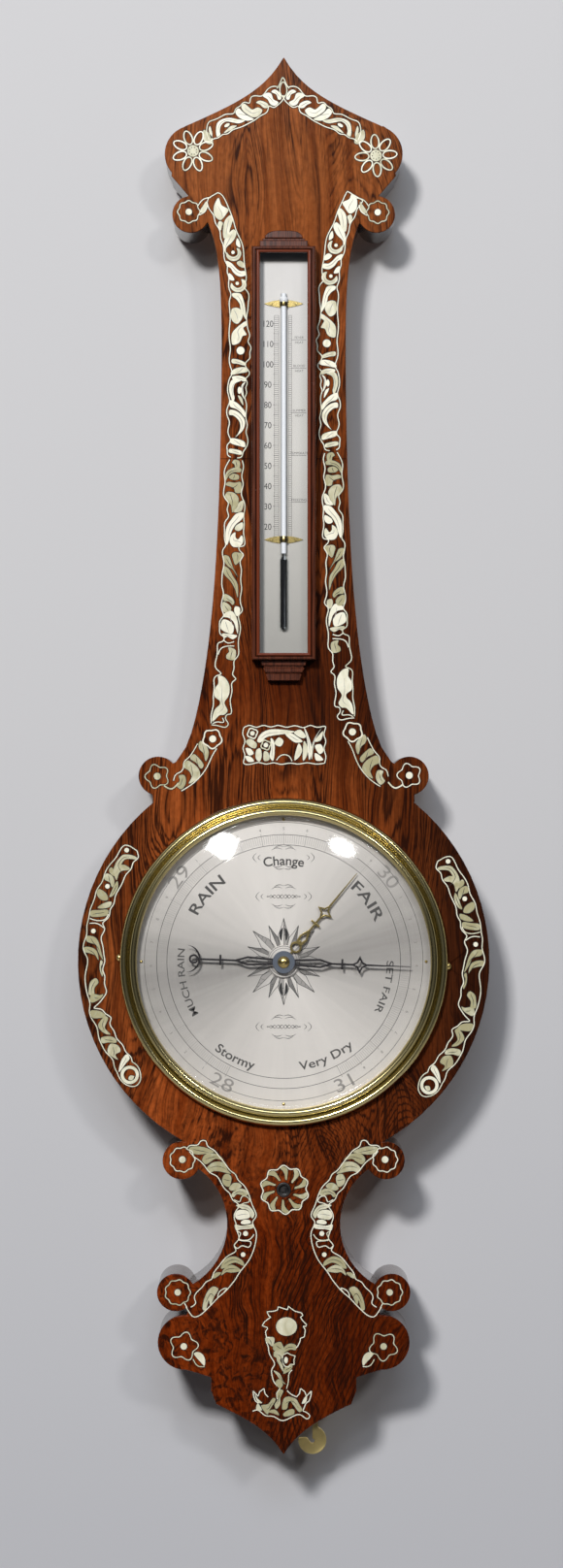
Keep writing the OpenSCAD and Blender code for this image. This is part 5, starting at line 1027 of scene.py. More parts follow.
    "spray": """
dot 1.9,-250 7.2,0.88
edge -9.6,-257.7 -11.8,-257.3 -12.5,-253.5 -11,-251.4 -11.4,-250.5 -14.8,-249.4 -12.9,-246.5 -8.9,-243.5 \
-10.3,-242.5 -11.4,-239.8 -7.4,-239.5 -4.4,-238.8 -3.7,-236.4 -0.4,-237.6 2.6,-238.4 3.3,-236.1 5.6,-238 \
7.8,-239.5 12.2,-240.6 13.1,-242.4 11.5,-243.5 12.9,-245.8 15.6,-248.6 15.2,-249.8 13.3,-249.8 14.8,-252.4 \
14.1,-257 11.5,-258 11.1,-260.2 9.6,-263.5 8.5,-264.7
line -12,-260.5 -10.7,-263.5 -10,-267.9 -7.7,-272.4 -6.3,-276 -8,-279 -8,-283.4 -6.6,-287.9 -4.6,-290.4 \
-2.4,-292
dull -12,-257.7 -7,-257.7 -6.8,-261.3 -8,-263.3 -10.3,-261.4 -11.9,-260.7
dull -6.6,-262.4 -2.6,-260.7 -0.7,-263.3 -0.1,-265.9 -4.8,-266.2 -6.9,-265.7
dull -0.5,-266.7 1.7,-263.1 4.8,-261.9 8.1,-263 7.9,-265.9 4.8,-265.7 2.6,-266.5 0.8,-267.5
dull -6.6,-270.3 -6,-267.2 -1.8,-266.1 0.2,-267.9 -0.9,-270.3 -2.4,-273.1 -0.9,-276 -0.6,-280.1 \
-2.9,-276.2 -4.5,-273.2 -4.9,-271.4
edge -0.4,-269.3 2.5,-267.9 4.8,-269.3 7.9,-270.1 7,-272.7 7.2,-276 4.5,-275.8 3.3,-277.7 0.8,-277.2 \
-0.4,-275.3 -1.2,-272.4 -0.4,-269.3
dot 1.6,-273 1.3,1.7
dull 0.1,-282 0.8,-278.3 4.4,-276.6 5.9,-277.2 4.5,-279.9 2.6,-281.1
line 5.7,-279.7 3.8,-282 3.3,-286.4 1.9,-292.5
dull -6.6,-280.5 -2.6,-282.6 -0.7,-287 1.1,-289.1 -1.2,-287.9 -3.8,-284.3
dull -5.4,-288.2 -3.3,-286.2 -0.8,-289.5 -2.4,-292 -4.5,-290.5
edge -2.4,-292 -3.8,-294.1 -4.9,-295.6 -4.5,-299.7
edge -10.7,-298.2 -12.8,-296 -13.5,-292.4 -16.4,-294.6 -17.6,-297.7 -21,-294 -20.6,-297.6 -19.4,-300.9 \
-17.2,-302.6
pale -19.4,-296.6 -17.8,-299.4 -15,-302 -16.8,-302.2 -18.6,-300.2
pale -18.7,-306.5 -17.6,-302.9 -15,-307.1
dull -15,-304.3 -10.7,-303.2 -7.6,-299.4 -6,-300.7 -9.5,-306.5 -11.3,-309.6
dull -6.1,-303.5 -4.1,-299.7 -4.5,-295.3 -2.9,-293.6 -0.5,-294.5 -2.4,-299 -2.4,-302.8 -4.8,-305.8
dull -10.6,-308.4 -7,-306.9 -4.6,-308.1 -3.5,-310.6 -7,-309.4
dull -0.7,-305.9 0.2,-300.4 2.9,-298.4 7.9,-299.8 10.3,-303.4 12.2,-306.8 10,-308 7,-304.3 4.8,-301.5 \
3.2,-302.6 2.7,-305.6 1.1,-306.6
dull 0.1,-309.6 3.6,-307.1 6.6,-306.9 6.6,-309.9 1.1,-311.4
edge 2.3,-293.8 5,-296.4 8.7,-298.2 10.8,-296 11.5,-292.4 14.4,-294.6 15.6,-297.7 19,-294 18.6,-297.6 \
17.4,-300.9 15.2,-302.6 13.1,-307.7
pale 12.6,-302.6 13.8,-299.4 15.8,-297.5 15.2,-301.6
line -21.2,-308 -18.1,-307.1 -12.9,-310.8 -7,-311.6 -1.7,-314.3 4.8,-312.3 12.2,-310.8 16.6,-313.1 \
17.8,-311.5 15.9,-309 13.1,-307.8
""",
}


def closed(points, steps=5):
    """A closed smooth outline through points: each stretch is a cubic whose slopes match its neighbours'."""
    b = np.asarray(points, float)[:, None]
    a, c, d = np.roll(b, 1, 0), np.roll(b, -1, 0), np.roll(b, -2, 0)
    u = (np.arange(steps) / steps)[None, :, None]
    second, third = a - 2.5 * b + 2 * c - d / 2, 1.5 * (b - c) + (d - a) / 2
    return (b + u * (c - a) / 2 + u ** 2 * second + u ** 3 * third).reshape(-1, 2)


class Inlay:
    """Pearl pieces of one CAD node: drawings laid along bands, and single flowers, lines and plates."""

    LINE, GROW = 0.64, 1.08  # width of the drawn lines, and how much the plates are drawn larger
    LEVELS, LEVEL = 23, 0.003  # pieces lie on so many levels, this far apart
    CUT, EDGE_LIFT = 0.012, 0.025  # how far the cuts lie above the pearl, and the dark edges above the veneer
    PALE, DULL, BRIGHT = (0.55, 1.0), (0.0, 0.42), (0.65, 1.0)  # ranges of tones

    def __init__(self, node, seed):
        self.node, self.piece, self.draw = node, Piece("pearl_" + node), np.random.default_rng(seed)
        self.height = FRONT + settings("case").inlay_rise / MM
        self.layer = 0
        self.veins = Piece("engraving_" + node)

    def vein(self, outline, tone):
        """A dark cut along a plate: the middles between its outline's sides, smoothed, without the ends."""
        i = np.arange(1, len(outline) // 2)
        mid = (outline[i] + outline[-i]) / 2
        mid = (mid[:-2] + 2 * mid[1:-1] + mid[2:]) / 4
        mid = mid[len(mid) // 5:len(mid) - len(mid) // 8]
        width = 0.42 * np.sin(np.linspace(0.35, np.pi - 0.15, len(mid)))
        self.veins.flat(*ribbon(mid, width), self.height + self.CUT, tone)

    def rim(self, points, faces, width=0.85):
        """A dark line on the veneer along every free edge: the edge, a little longer, as a bar."""
        edge = np.stack([faces, np.roll(faces, -1, 1)], -1).reshape(-1, 2)
        _, first, count = np.unique(np.sort(edge, 1), axis=0, return_index=True, return_counts=True)
        p, q = np.moveaxis(points[edge[first[count == 1]]], 1, 0)
        run = (q - p) / np.maximum(np.linalg.norm(q - p, axis=1, keepdims=True), 1e-9)
        side, more = np.stack([-run[:, 1], run[:, 0]], -1) * width / 2, run * width * 0.25
        self.veins.flat(*bars(p - more, q + more, side), FRONT + self.EDGE_LIFT)

    def lay(self, points, faces, items, low=0.0, high=1.0):
        """Adds flat pieces, each with a tone of its own, on a level a hair apart from the last ones."""
        self.rim(points.reshape(-1, 2), faces)
        each = len(points.reshape(-1, 2)) // items
        tone = np.repeat(self.draw.uniform(low, high, items), each)
        self.layer = (self.layer + 1) % self.LEVELS
        self.piece.flat(points, faces, self.height - self.layer * self.LEVEL, tone)

    def plate(self, outline, low, high):
        """One flat piece with a given outline."""
        self.lay(outline, np.arange(len(outline))[None], 1, low, high)

    def sheet(self, name, place=lambda st: st, lift=0.0):
        """Lays one drawing: its rows are pale or dull plates, dots, rings, smooth lines and angular edges."""
        for row in DRAWINGS[name].strip().splitlines():
            kind, *pairs = row.split()
            at = np.array([pair.split(",") for pair in pairs], float)
            if kind in ("pale", "dull"):
                outline = place(closed(at.mean(0) + (at - at.mean(0)) * self.GROW - (lift, 0)))
                self.plate(outline, *(self.PALE if kind == "pale" else self.DULL))
                if len(at) > 5:
                    self.vein(outline, 0.5 if kind == "dull" else 0.82)
            elif kind == "line":
                self.lay(*ribbon(place(curve(at - (lift, 0), len(at) * 6)), self.LINE), 1, *self.BRIGHT)
            elif kind == "edge":
                self.lay(*ribbon(place(straight(at, len(at) * 5)), self.LINE), 1, *self.BRIGHT)
            elif kind == "dot":
                points, faces = discs([(*(at[0] - (lift, 0)), *at[1])])
                self.lay(place(points[0]), faces, 1, *((0.75, 1.0) if at[1, 0] < 5 else (0.55, 0.65)))
            else:
                points, faces = loops([(*(at[0] - (lift, 0)), *at[1], *at[2], 0.4)])
                self.lay(place(points[0]), faces, 1, 0.5, 1.0)

    def line(self, knots, width=0.66):
        """A thin line on a smooth curve through knots."""
        self.lay(*ribbon(curve(knots, 40), width), 1, 0.45, 1.0)

    def free(self, leaf=(), ring=(), disc=(), middle=(0, 0), mirror=1):
        """Leaves, rings and plates placed by themselves about a middle."""
        for table, shape in ((leaf, leaves), (ring, loops), (disc, discs)):
            if len(table):
                points, faces = shape(table)
                self.lay(points * (mirror, 1) + middle, faces, len(table), 0.4, 1.0)

    def daisy(self, x, z, reach, turn, petals=8, steps=28):
        """Almond petals in outline round a disc: each outline is a closed line whose half-width is a sine."""
        u = np.linspace(0, 2 * np.pi, steps, endpoint=False)
        w = reach * 0.215 * np.sin(u) * (1.0 + 0.10 * np.cos(u))
        rim = np.stack([reach * (0.65 - 0.35 * np.cos(u)), w], -1)
        inner = np.stack([reach * (0.65 - 0.295 * np.cos(u)), w * 0.70], -1)
        a = turn + 2 * np.pi * np.arange(petals) / petals
        spin = np.stack([np.stack([np.cos(a), -np.sin(a)], -1), np.stack([np.sin(a), np.cos(a)], -1)], -2)
        shape = np.stack([inner, rim], 1).reshape(-1, 2)
        points = np.einsum("kij,nj->kni", spin, shape) + (x, z)
        self.lay(points, many(cells(steps, 2, wrap_rows=True), steps * 2, petals), petals, 0.6, 1.0)
        self.free(disc=[(0, 0, reach * 0.27, 1)], middle=(x, z))
        ring = reach * 0.17
        dots, faces = discs([(x + ring * c, z + ring * d, 0.4, 1) for c, d in zip(np.cos(a), np.sin(a))], 8)
        self.veins.flat(dots, faces, self.height + self.CUT)

    def blossom(self, x, z, reach, lobes, wave, dot, turn=0.0):
        """A round lobed line with a dot in it."""
        self.free(ring=[(0, 0, reach, 0.7, lobes, wave, turn)], disc=[(0, 0, reach * dot, 1)], middle=(x, z))

    def done(self):
        """Makes the dark cuts and edges, and the pearl."""
        self.veins.build("case", "ebony", finish_of("wax"), thick=0.01)
        self.piece.build("case", "pearl", finish_of("pearl"), replaces=(self.node,),
                         thick=settings("case").inlay_rise / MM)


class Operator(bpy.types.Operator):
    """Base of the barometer's operators."""
    bl_options = {"REGISTER", "UNDO"}


class BAROMETER_OT_stage(Operator):
    """Camera, lights, wall, floor and the even light round them"""
    bl_idname = "barometer.stage"
    bl_label = "Stage"

    def execute(self, context):
        own = settings("stage")
        scene = bpy.context.scene
        scene.view_settings.view_transform = "Standard"
        eye = bpy.data.cameras.new("camera")
        eye.lens, eye.sensor_width, eye.sensor_fit = own.lens, 36.0, "AUTO"
        camera = bpy.data.objects.new("camera", eye)
        right, rise = -0.0015, 0.1217  # of the camera from the dial's middle
        camera.location = (right, -own.camera_y, DIAL_Z + rise)
        camera.rotation_euler = (math.pi / 2, 0, 0)
        scene.collection.objects.link(camera)
        scene.camera = camera
        white, cool = (1, 1, 1), (0.90, 1.0, 1.14)
        for lamp in (
                ("key_light", (-0.75, -3.25, 1.50), own.key_power, (0.40, 0.32), "RECTANGLE", 0, white),
                ("side_light", (1.10, -3.25, 1.25), own.side_power, (0.38, 0.28), "ELLIPSE", 0, white),
                ("soft_light", (0.05, -3.00, 1.70), own.soft_power, (1.3, 0.9), "RECTANGLE", 0, cool),
                ("key_gleam", (-0.56, -3.25, 0.90), own.gleam, (0.24, 0.21), "RECTANGLE", -26, white),
                ("side_gleam", (0.54, -3.25, 0.87), own.gleam * 0.66, (0.24, 0.12), "ELLIPSE", -28, white),
                ("back_light", (0.9, 2.6, 1.2), own.key_power * 1.1, (1.6, 1.6), "SQUARE", 0, white)):
            self.lamp(*lamp)
        self.even_light(own)
        half, tall, low = 7.0, 6.0, DIAL_Z - 1.7  # the wall's half width and height, and the floor, in metres
        lean, foot = 0.033, 1.4  # the wall comes nearer with height; its gap is measured foot above the floor
        near, far = (own.wall_gap + lean * up for up in (foot, foot - tall))
        wall = self.sheet("wall", half, near, far, low, low + tall)
        wall.data.materials.append(self.wall_finish(own))
        floor = self.sheet("floor", half, -half, half, low, low)
        floor.data.materials.append(self.floor_finish(own))
        return {"FINISHED"}

    def lamp(self, name, place, power, size, shape, roll, tint):
        """A flat lamp, placed from the dial's middle and aimed a little above it, turned by roll."""
        light = bpy.data.lights.new(name, "AREA")
        light.energy, light.shape, light.color = power, shape, tint
        light.size, light.size_y = size
        thing = bpy.data.objects.new(name, light)
        thing.location, thing.visible_camera = Vector(place) + Vector((0, 0, DIAL_Z)), False
        thing.visible_glossy = place[1] < 0  # the lamp behind lights the back without a gleam along the sides
        aim = (Vector((0, 0, 0.1)) - Vector(place)).to_track_quat("-Z", "Y").to_matrix()
        thing.rotation_euler = (aim @ Matrix.Rotation(math.radians(roll), 3, "Z")).to_euler()
        bpy.context.scene.collection.objects.link(thing)

    def sheet(self, name, half, near, far, low, high):
        """A flat sheet that reaches half to either side, from near and low to far and high."""
        mesh = bpy.data.meshes.new(name)
        corners = [(-half, near, low), (half, near, low), (half, far, high), (-half, far, high)]
        mesh.from_pydata(corners, [], [(0, 1, 2, 3)])
        thing = bpy.data.objects.new(name, mesh)
        bpy.context.scene.collection.objects.link(thing)
        return thing

    def even_light(self, own):
        """Even light for the surfaces; metal and glass see a bright front and top and darker sides."""
        world = bpy.data.worlds.new("studio")
        world.use_nodes = True
        f = Nodes(world.node_tree)
        _, y, z = f.axes(f.add("ShaderNodeTexCoord", out="Generated"))
        front = f.step(y * -1.0, 0.55, 0.97)
        above = f.step(z, 0.25, 0.80) + f.step(z, -0.25, -0.80, 0.0, 0.25)
        studio = front * 0.04 + above * 0.26 + 0.032
        seen, gloss = (f.ray(kind) for kind in ("Is Camera Ray", "Is Glossy Ray"))
        level = f.add("ShaderNodeMix", {"data_type": "FLOAT"}, {0: gloss, 2: own.fill, 3: studio})
        shade = f.add("ShaderNodeCombineColor", None, {0: level * 0.94, 1: level * 0.98, 2: level * 1.12})
        back = f.tree.nodes["Background"].inputs
        f.feed(back["Color"], f.blend(seen, shade, (0.62, 0.62, 0.635, 1)))
        f.feed(back["Strength"], 1.0)
        bpy.context.scene.world = world

    def wall_finish(self, own):
        """Matt wall, a little darker and bluer towards the bottom as painted shade. It is clear from behind,
        and it neither shades the object nor lights its back.
        """
        f = Finish("wall_paint", roughness=0.9, specular_ior_level=0.2)
        # Painted shade: the wall is a little darker towards the bottom.
        height = f.step(f.axes()[2], DIAL_Z - 0.40, DIAL_Z + 0.20) + (f.noise(2.0, 2.0) - 0.5) * 0.06
        f.set(base_color=f.ramp(height, (0.0, times(own.wall, (0.955, 0.965, 0.995))), (1.0, own.wall)))
        behind = f.add("ShaderNodeNewGeometry", out="Backfacing")
        shadow, spread = (f.ray(kind) for kind in ("Is Shadow Ray", "Is Diffuse Ray"))
        share = 1 - (1 - behind) * (1 - shadow) * (1 - spread)
        return f.end(f.shade(share, f.body, f.add("ShaderNodeBsdfTransparent")))

    def floor_finish(self, own):
        """Matt floor, far below. It throws no light up at the undersides."""
        f = Finish("floor_paint", roughness=0.8, specular_ior_level=0.2)
        f.set(base_color=f.ramp(f.noise(1.5, 2.0), (0.3, times(own.wall, 0.97)), (0.7, own.wall)))
        return f.end(f.shade(f.ray("Is Diffuse Ray"), f.body, f.add("ShaderNodeBsdfTransparent")))


class BAROMETER_OT_case(Operator):
    """Wood of the case, its back and its covers"""
    bl_idname = "barometer.case"
    bl_label = "Case"

    def execute(self, context):
        dress("rosewood", "front_veneer", bevel=0.55)
        dress("stained", "case_crest", "case_carcass")
        dress("board", "trunk_cover", "tail_cover", "back_door", bevel=0.5)
        dress("ebony", "set_key_bush", bevel=0.35)
        return {"FINISHED"}


class BAROMETER_OT_inlay(Operator):
    """Pearl bands, flowers, panels and the key's rosette"""
    bl_idname = "barometer.inlay"
    bl_label = "Pearl inlay"

    def execute(self, context):
        self.crest()
        self.trunk()
        self.waist()
        self.dial_sides()
        self.rosette()
        self.tail()
        return {"FINISHED"}

    def crest(self):
        work = Inlay("inlay_crest", SEED)
        knots = [(-52.5, 566.0), (-39.2, 573.0), (-24.5, 582.2), (-8.8, 591.0), (-1.2, 596.4)]
        for mirror in (False, True):
            work.sheet("crest", Band(knots, mirror).map)
        work.line([(0.0, 591.6), (-2.6, 596.2), (-0.4, 602.6), (2.2, 596.2), (0.0, 591.6)])
        work.line([(-4.6, 598.2), (-2.6, 601.6), (-0.6, 605.6), (1.6, 601.6), (3.8, 598.2)])
        for x, z, turn in ((-62.1, 555.4, 0.36), (63.2, 552.2, 0.08)):
            work.daisy(x, z, 14.8, turn)
        for s, x, z in ((-1, -65.0, 513.7), (1, 64.4, 513.4)):
            work.blossom(x, z, 7.3, 8, 0.06, 0.30)
            work.line([(x - s * 6.4, z + 4.2), (x - s * 9.8, z + 8.4), (x - s * 15.0, z + 9.8)])
            work.line([(x - s * 7.2, z - 2.2), (x - s * 11.2, z + 0.4), (x - s * 12.8, z + 5.0)])
            work.free(leaf=[(7.6, -0.4, 10.8, 1.2, 12.0, 7.4, 3.0, 0.8, 0)], middle=(x, z), mirror=-s)
            work.free(leaf=[(48.6, 560.6, 53.0, 563.6, 54.6, 570.0, 6.0, 0.9, 0)], mirror=s)
        work.done()

    def trunk(self):
        work = Inlay("inlay_trunk", SEED + 1)
        knots = [(-49.6, 524.2), (-43.2, 512.8), (-34.2, 485.3), (-30.4, 440.0), (-30.9, 393.0),
                 (-33.0, 350.0), (-35.4, 313.0), (-35.9, 260.0), (-39.2, 213.0), (-43.0, 180.0),
                 (-50.0, 152.0), (-60.0, 133.0), (-74.0, 120.5)]
        for mirror in (False, True):
            work.sheet("trunk", Band(knots, mirror).map, 5.0 if mirror else 0.0)
        for s, x, z in ((-1, -86.6, 127.0), (1, 86.0, 127.6)):
            work.blossom(x, z, 7.4, 5, 0.14, 0.32, 0.6 * s)
            work.line([(x - s * 4.6, z - 6.4), (x - s * 9.6, z - 8.6), (x - s * 14.4, z - 4.6)], 1.0)
        work.done()

    def waist(self):
        work = Inlay("inlay_waist", SEED + 2)
        work.sheet("waist")
        work.done()

    def dial_sides(self):
        work = Inlay("inlay_dial_sides", SEED + 3)
        radius = 130.0
        for right, high, low in ((True, 33.0, -45.0), (False, 37.0, -42.5)):
            a = np.radians(np.linspace(high, low, 9))
            work.sheet("dial", Band(np.stack([-radius * np.cos(a), radius * np.sin(a)], -1), right).map)
        work.done()

    def rosette(self):
        work = Inlay("inlay_rosette", SEED + 4)
        middle = (0.6, box_of("set_key_bush")[0][2] + 5.0)
        petals = 10
        r, lean = np.transpose([(7.0, -0.06), (9.5, -0.10), (12.2, -0.16), (14.6, -0.17), (16.0, -0.02),
                                (15.2, 0.14), (13.0, 0.09), (10.4, 0.06), (7.4, 0.09)])
        for k in range(petals):
            a = 2 * np.pi * k / petals + 0.15 + lean + 0.028 * (r - 7.0)
            work.plate(closed(np.stack([r * np.cos(a), r * np.sin(a)], -1) + middle), 0.0, 0.4)
        work.free(ring=[(0, 0, 15.7, 0.8, petals, 0.07, 0.36)], middle=middle)
        work.done()

    def tail(self):
        work = Inlay("inlay_tail", SEED + 5)
        for s in (-1, 1):
            work.sheet("tail", lambda at: at * (-s, 1))
            work.blossom(s * 69.4, -135.6, 8.3, 9, 0.05, 0.28)
            work.blossom(s * 72.6, -226.6, 8.4, 9, 0.05, 0.26)
            work.line([(s * 68.0, -234.0), (s * 66.6, -236.4), (s * 66.2, -237.6)])
            work.blossom(s * 68.4, -263.6, 8.6, 5, 0.16, 0.26, 0.5 + s * 0.4)
            work.free(leaf=[(61.6, -268.6, 56.0, -269.0, 54.4, -277.0, 4.6, 0.9, 0)], mirror=s)
            work.line([(s * 62.0, -272.4), (s * 58.6, -277.0), (s * 54.2, -277.4)])
        work.sheet("spray")
        work.done()


class BAROMETER_OT_dial(Operator):
    """Engraved scale, numerals, words, flourishes and star of the dial"""
    bl_idname = "barometer.dial"
    bl_label = "Dial"

    def execute(self, context):
        own = settings("dial")
        dress("silvered", "dial_plate", "set_hand_collet")
        dress("brass", "dial_pins")
        marks = Piece("dial_engraving")
        self.h = FRONT + 0.035
        self.scale(marks, own)
        self.star(marks, own)
        self.flourishes(marks)
        marks.build("case", "ebony", finish_of("wax"), thick=0.03)
        words = Piece("dial_lettering")
        for i in range(4):
            lettering(words, str(28 + i), 9.4, SCALE_START + INCH_TURN * i, 87.9, self.h, 1.25, 0.80)
        for word, size, angle, radius, wide, fat in (
                ("RAIN", 7.6, -49, 67.0, 1.30, 0.16), ("FAIR", 7.6, 54, 68.2, 1.42, 0.16),
                ("Change", 6.5, 0, 66.2, 1.0, 0.14), ("SET FAIR", 4.9, 104, 70.6, 1.39, 0.06),
                ("MUCH RAIN", 4.9, -102, 68.2, 1.26, 0.06), ("Stormy", 6.2, -153, 70.6, 1.1, 0.12),
                ("Very Dry", 6.0, 156, 69.2, 1.2, 0.10)):
            lettering(words, word, size, angle, radius, self.h, wide, 0.56, fat)
        for i in range(31):
            if i % 10:
                lettering(words, str(i % 10), 2.1, SCALE_START + INCH_TURN / 10 * i, 90.2, self.h, 1.0, 0.7)
        words.build("case", "ebony", finish_of("wax"), thick=0.03)
        lines = Piece("collet_lines")
        points, faces = loops([(0, 0, 10.75, 0.4, 0, 0, 0), (0, 0, 9.3, 0.3, 0, 0, 0)], 96)
        lines.flat(points, faces, -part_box("set_hand_collet")[0][1] / MM + 0.02, 0.62)
        lines.build("marker", "ebony", finish_of("wax"), thick=0.01)
        return {"FINISHED"}

    def scale(self, marks, own):
        """Two ring lines, an outer ring and a tick for each hundredth."""
        width = own.line_w / MM
        inner, outer = own.scale_in / MM, own.scale_out / MM
        rings = ((inner, width), (outer, width), (95.4, width * 0.8))
        marks.flat(*loops([(0, 0, *ring, 0, 0, 0) for ring in rings], 240), self.h)
        step = np.arange(301)
        angle = np.radians(SCALE_START + INCH_TURN / 100 * step)
        tenth, half = step % 10 == 0, step % 5 == 0
        reach = np.where(tenth, outer + 1.6, outer)
        start = np.where(tenth | half, inner, inner + 1.2)
        wide = np.where(tenth, 0.36, 0.22)
        out = np.stack([np.sin(angle), np.cos(angle)], -1)
        side = np.stack([out[:, 1], -out[:, 0]], -1) * wide[:, None] / 2
        marks.flat(*bars(out * start[:, None], out * reach[:, None], side), self.h + HAIR, 0.86)

    def star(self, marks, own):
        """Sixteen darts in outline, each with its middle line and one half shaded and lined across. Every
        other one is shorter, and the upper and the lower one have a leaf at either side."""
        reach, foot = own.star_r / MM, 11.3
        width = own.line_w / MM
        for k in range(16):
            odd = k % 2
            tip, wide, knee = (reach, 3.9, 17.5) if not odd else (reach * 0.90, 2.9, 16.4)
            a = k * np.pi / 8
            turn = np.array([[np.cos(a), -np.sin(a)], [np.sin(a), np.cos(a)]])
            kite = np.array([(0, tip), (wide * 0.42, (tip + knee) / 2), (wide, knee), (wide * 0.55, foot)])
            for side in (-1, 1):
                self.stroke(marks, kite * (side, 1) @ turn, width, 0)
            half = np.r_[kite, [(0, foot)]] @ turn
            marks.flat(half, [np.arange(5)], self.h - 2 * HAIR, 0.72 if odd else 0.88)
            self.stroke(marks, np.array([(0, tip), (0, foot)]) @ turn, width * 0.8, 1)
            u = np.linspace(0.12, 0.86, 7 if odd else 4)[:, None]
            left = np.array([(0, tip)]) * (1 - u) + np.array([(wide * 0.8, knee)]) * u
            right = np.array([(0, tip - 1.2)]) * (1 - u) + np.array([(0, knee - 1.2)]) * u
            for ends in zip(left, right):
                self.stroke(marks, np.stack(ends) @ turn, width * 0.7, 1.5)
            if k in (0, 8):
                leaf = np.array([(0.5, 23.5, 2.9, 18.6, 1.5, 14.2, 2.1, 1, 0)])
                points, faces = leaves(np.r_[leaf * (-1, 1, -1, 1, -1, 1, 1, 1, 1), leaf])
                marks.flat(points.reshape(-1, 2) @ turn, faces, self.h + 2 * HAIR)

    def stroke(self, marks, corners, width, layer):
        """A line of even width through corners, straight from one to the next, so many hairs up."""
        marks.flat(*ribbon(straight(corners, 12), width), self.h + layer * HAIR)

    def flourishes(self, marks):
        """Curled strokes round three short legends on the middle line; two of them hold a plain scroll."""
        for z, half, filled in ((71.3, 18.5, False), (44.6, 16.5, True), (-44.6, 16.5, True)):
            for s in (-1, 1):
                strokes = [[(s * half, z + 3.2), (s * (half + 2.4), z), (s * half, z - 3.2)],
                           [(s * (half - 2.6), z + 1.8), (s * (half - 1.0), z), (s * (half - 2.6), z - 1.8)]]
                for v in (-1, 1):
                    strokes += [[(s * 8.4, z + v * 5.0), (s * 5.0, z + v * 6.6), (s * 1.0, z + v * 5.6)],
                                [(s * 6.6, z + v * 6.6), (s * 3.6, z + v * 8.0), (0.0, z + v * 7.4)]]
                for knots in strokes:
                    line = curve(knots, 18)
                    marks.flat(*ribbon(line, 0.12 + 0.3 * np.sin(np.linspace(0, np.pi, 18))), self.h)
            if filled:
                x = np.linspace(-11.5, 11.5, 90)
                for phase in (0.0, np.pi):
                    wave = z + 1.25 * np.sin(x * 1.25 + phase) * np.cos(x / 11.5 * np.pi / 2) ** 0.5
                    marks.flat(*ribbon(np.stack([x, wave], -1), 0.18 + 0.24 * np.abs(np.sin(x * 0.62))),
                               self.h + (HAIR if phase else 0.0))


def letters(words, size, fat=0.0):
    """Flat letters of a plain face, so many millimetres high and fatter all round: points and triangles."""
    text = bpy.data.curves.new("words", "FONT")
    text.body, text.size, text.offset = words, size * 1.38, fat
    text.align_x, text.fill_mode = "CENTER", "FRONT"
    thing = bpy.data.objects.new("words", text)
    bpy.context.scene.collection.objects.link(thing)
    mesh = bpy.data.meshes.new_from_object(thing.evaluated_get(bpy.context.evaluated_depsgraph_get()))
    points = np.zeros(len(mesh.vertices) * 3)
    mesh.vertices.foreach_get("co", points)
    mesh.calc_loop_triangles()
    faces = np.zeros(len(mesh.loop_triangles) * 3, int)
    mesh.loop_triangles.foreach_get("vertices", faces)
    bpy.data.objects.remove(thing)
    bpy.data.curves.remove(text)
    bpy.data.meshes.remove(mesh)
    return points.reshape(-1, 3)[:, :2], faces.reshape(-1, 3)


def lettering(piece, words, size, angle, radius, h, wide=1.0, tone=0.5, fat=0.0):
    """Words bent round the dial: each letter's run becomes an angle and its height a radius. Below the middle
    the letters' feet point outwards."""
    points, faces = letters(words, size, fat)
    across, up = points[:, 0] * wide, points[:, 1]
    if abs(angle) > 120:
        r = radius + size - up
        a = np.radians(angle) - across / radius
    else:
        r = radius + up
        a = np.radians(angle) + across / radius
    piece.flat(np.stack([r * np.sin(a), r * np.cos(a)], -1), faces, h, tone)


class BAROMETER_OT_bezel(Operator):
    """Turned brass bezel, domed glass and the ring behind it"""
    bl_idname = "barometer.bezel"
    bl_label = "Bezel"

    def execute(self, context):
        f = FRONT
        roll = arc_of((0.0, 0.0), 1.0, 180, 0, 36)
        profile = np.concatenate([
            [(104.0, f), (104.0, f + 7.0), (100.2, f + 7.0)],
            roll * (2.70, 3.6) + (102.9, f + 8.5),
            [(105.75, f + 7.6), (106.25, f + 7.3)],
            roll[3:] * (3.05, 4.3) + (109.25, f + 5.2),
            [(112.3, f)]])
        ring = Piece("bezel")
        points, faces = turned(profile, 600)  # many steps, so that its gleams run smoothly
        ring.add(points, faces[:, ::-1])
        ring.build("case", "brass", finish_of("polished_brass"), smooth=True, replaces=("bezel_ring",))
        dress("brass", "glass_ring")
        dress("bright_brass", "bezel_screws")
        r = np.r_[0.05, np.linspace(1.2, 99.6, 82)]
        seat, rise, chord, edge = 7.0, 9.0, 103.7, 0.9243  # the dome falls with the square of the radius
        crown = np.stack([r, f + seat + rise * (edge - (r / chord) ** 2)], -1)
        steps = 240
        points, faces = turned(crown, steps)
        glass = Piece("domed_glass").add(points, faces[:, ::-1])
        glass.faces.append((np.arange(steps) * len(crown))[None])
        glass.build("case", "glass", finish_of("dome"), smooth=True, replaces=("bezel_glass",), thick=1.5)
        return {"FINISHED"}


class BAROMETER_OT_hands(Operator):
    """Indicating hand, set hand, button and collet"""
    bl_idname = "barometer.hands"
    bl_label = "Hands"

    def execute(self, context):
        dress("blued", "indicating_hand", bevel=0.16)
        dress("dull_brass", "set_hand", bevel=0.16)
        dress("brass", "hand_button", "set_hand_pipe")
        return {"FINISHED"}


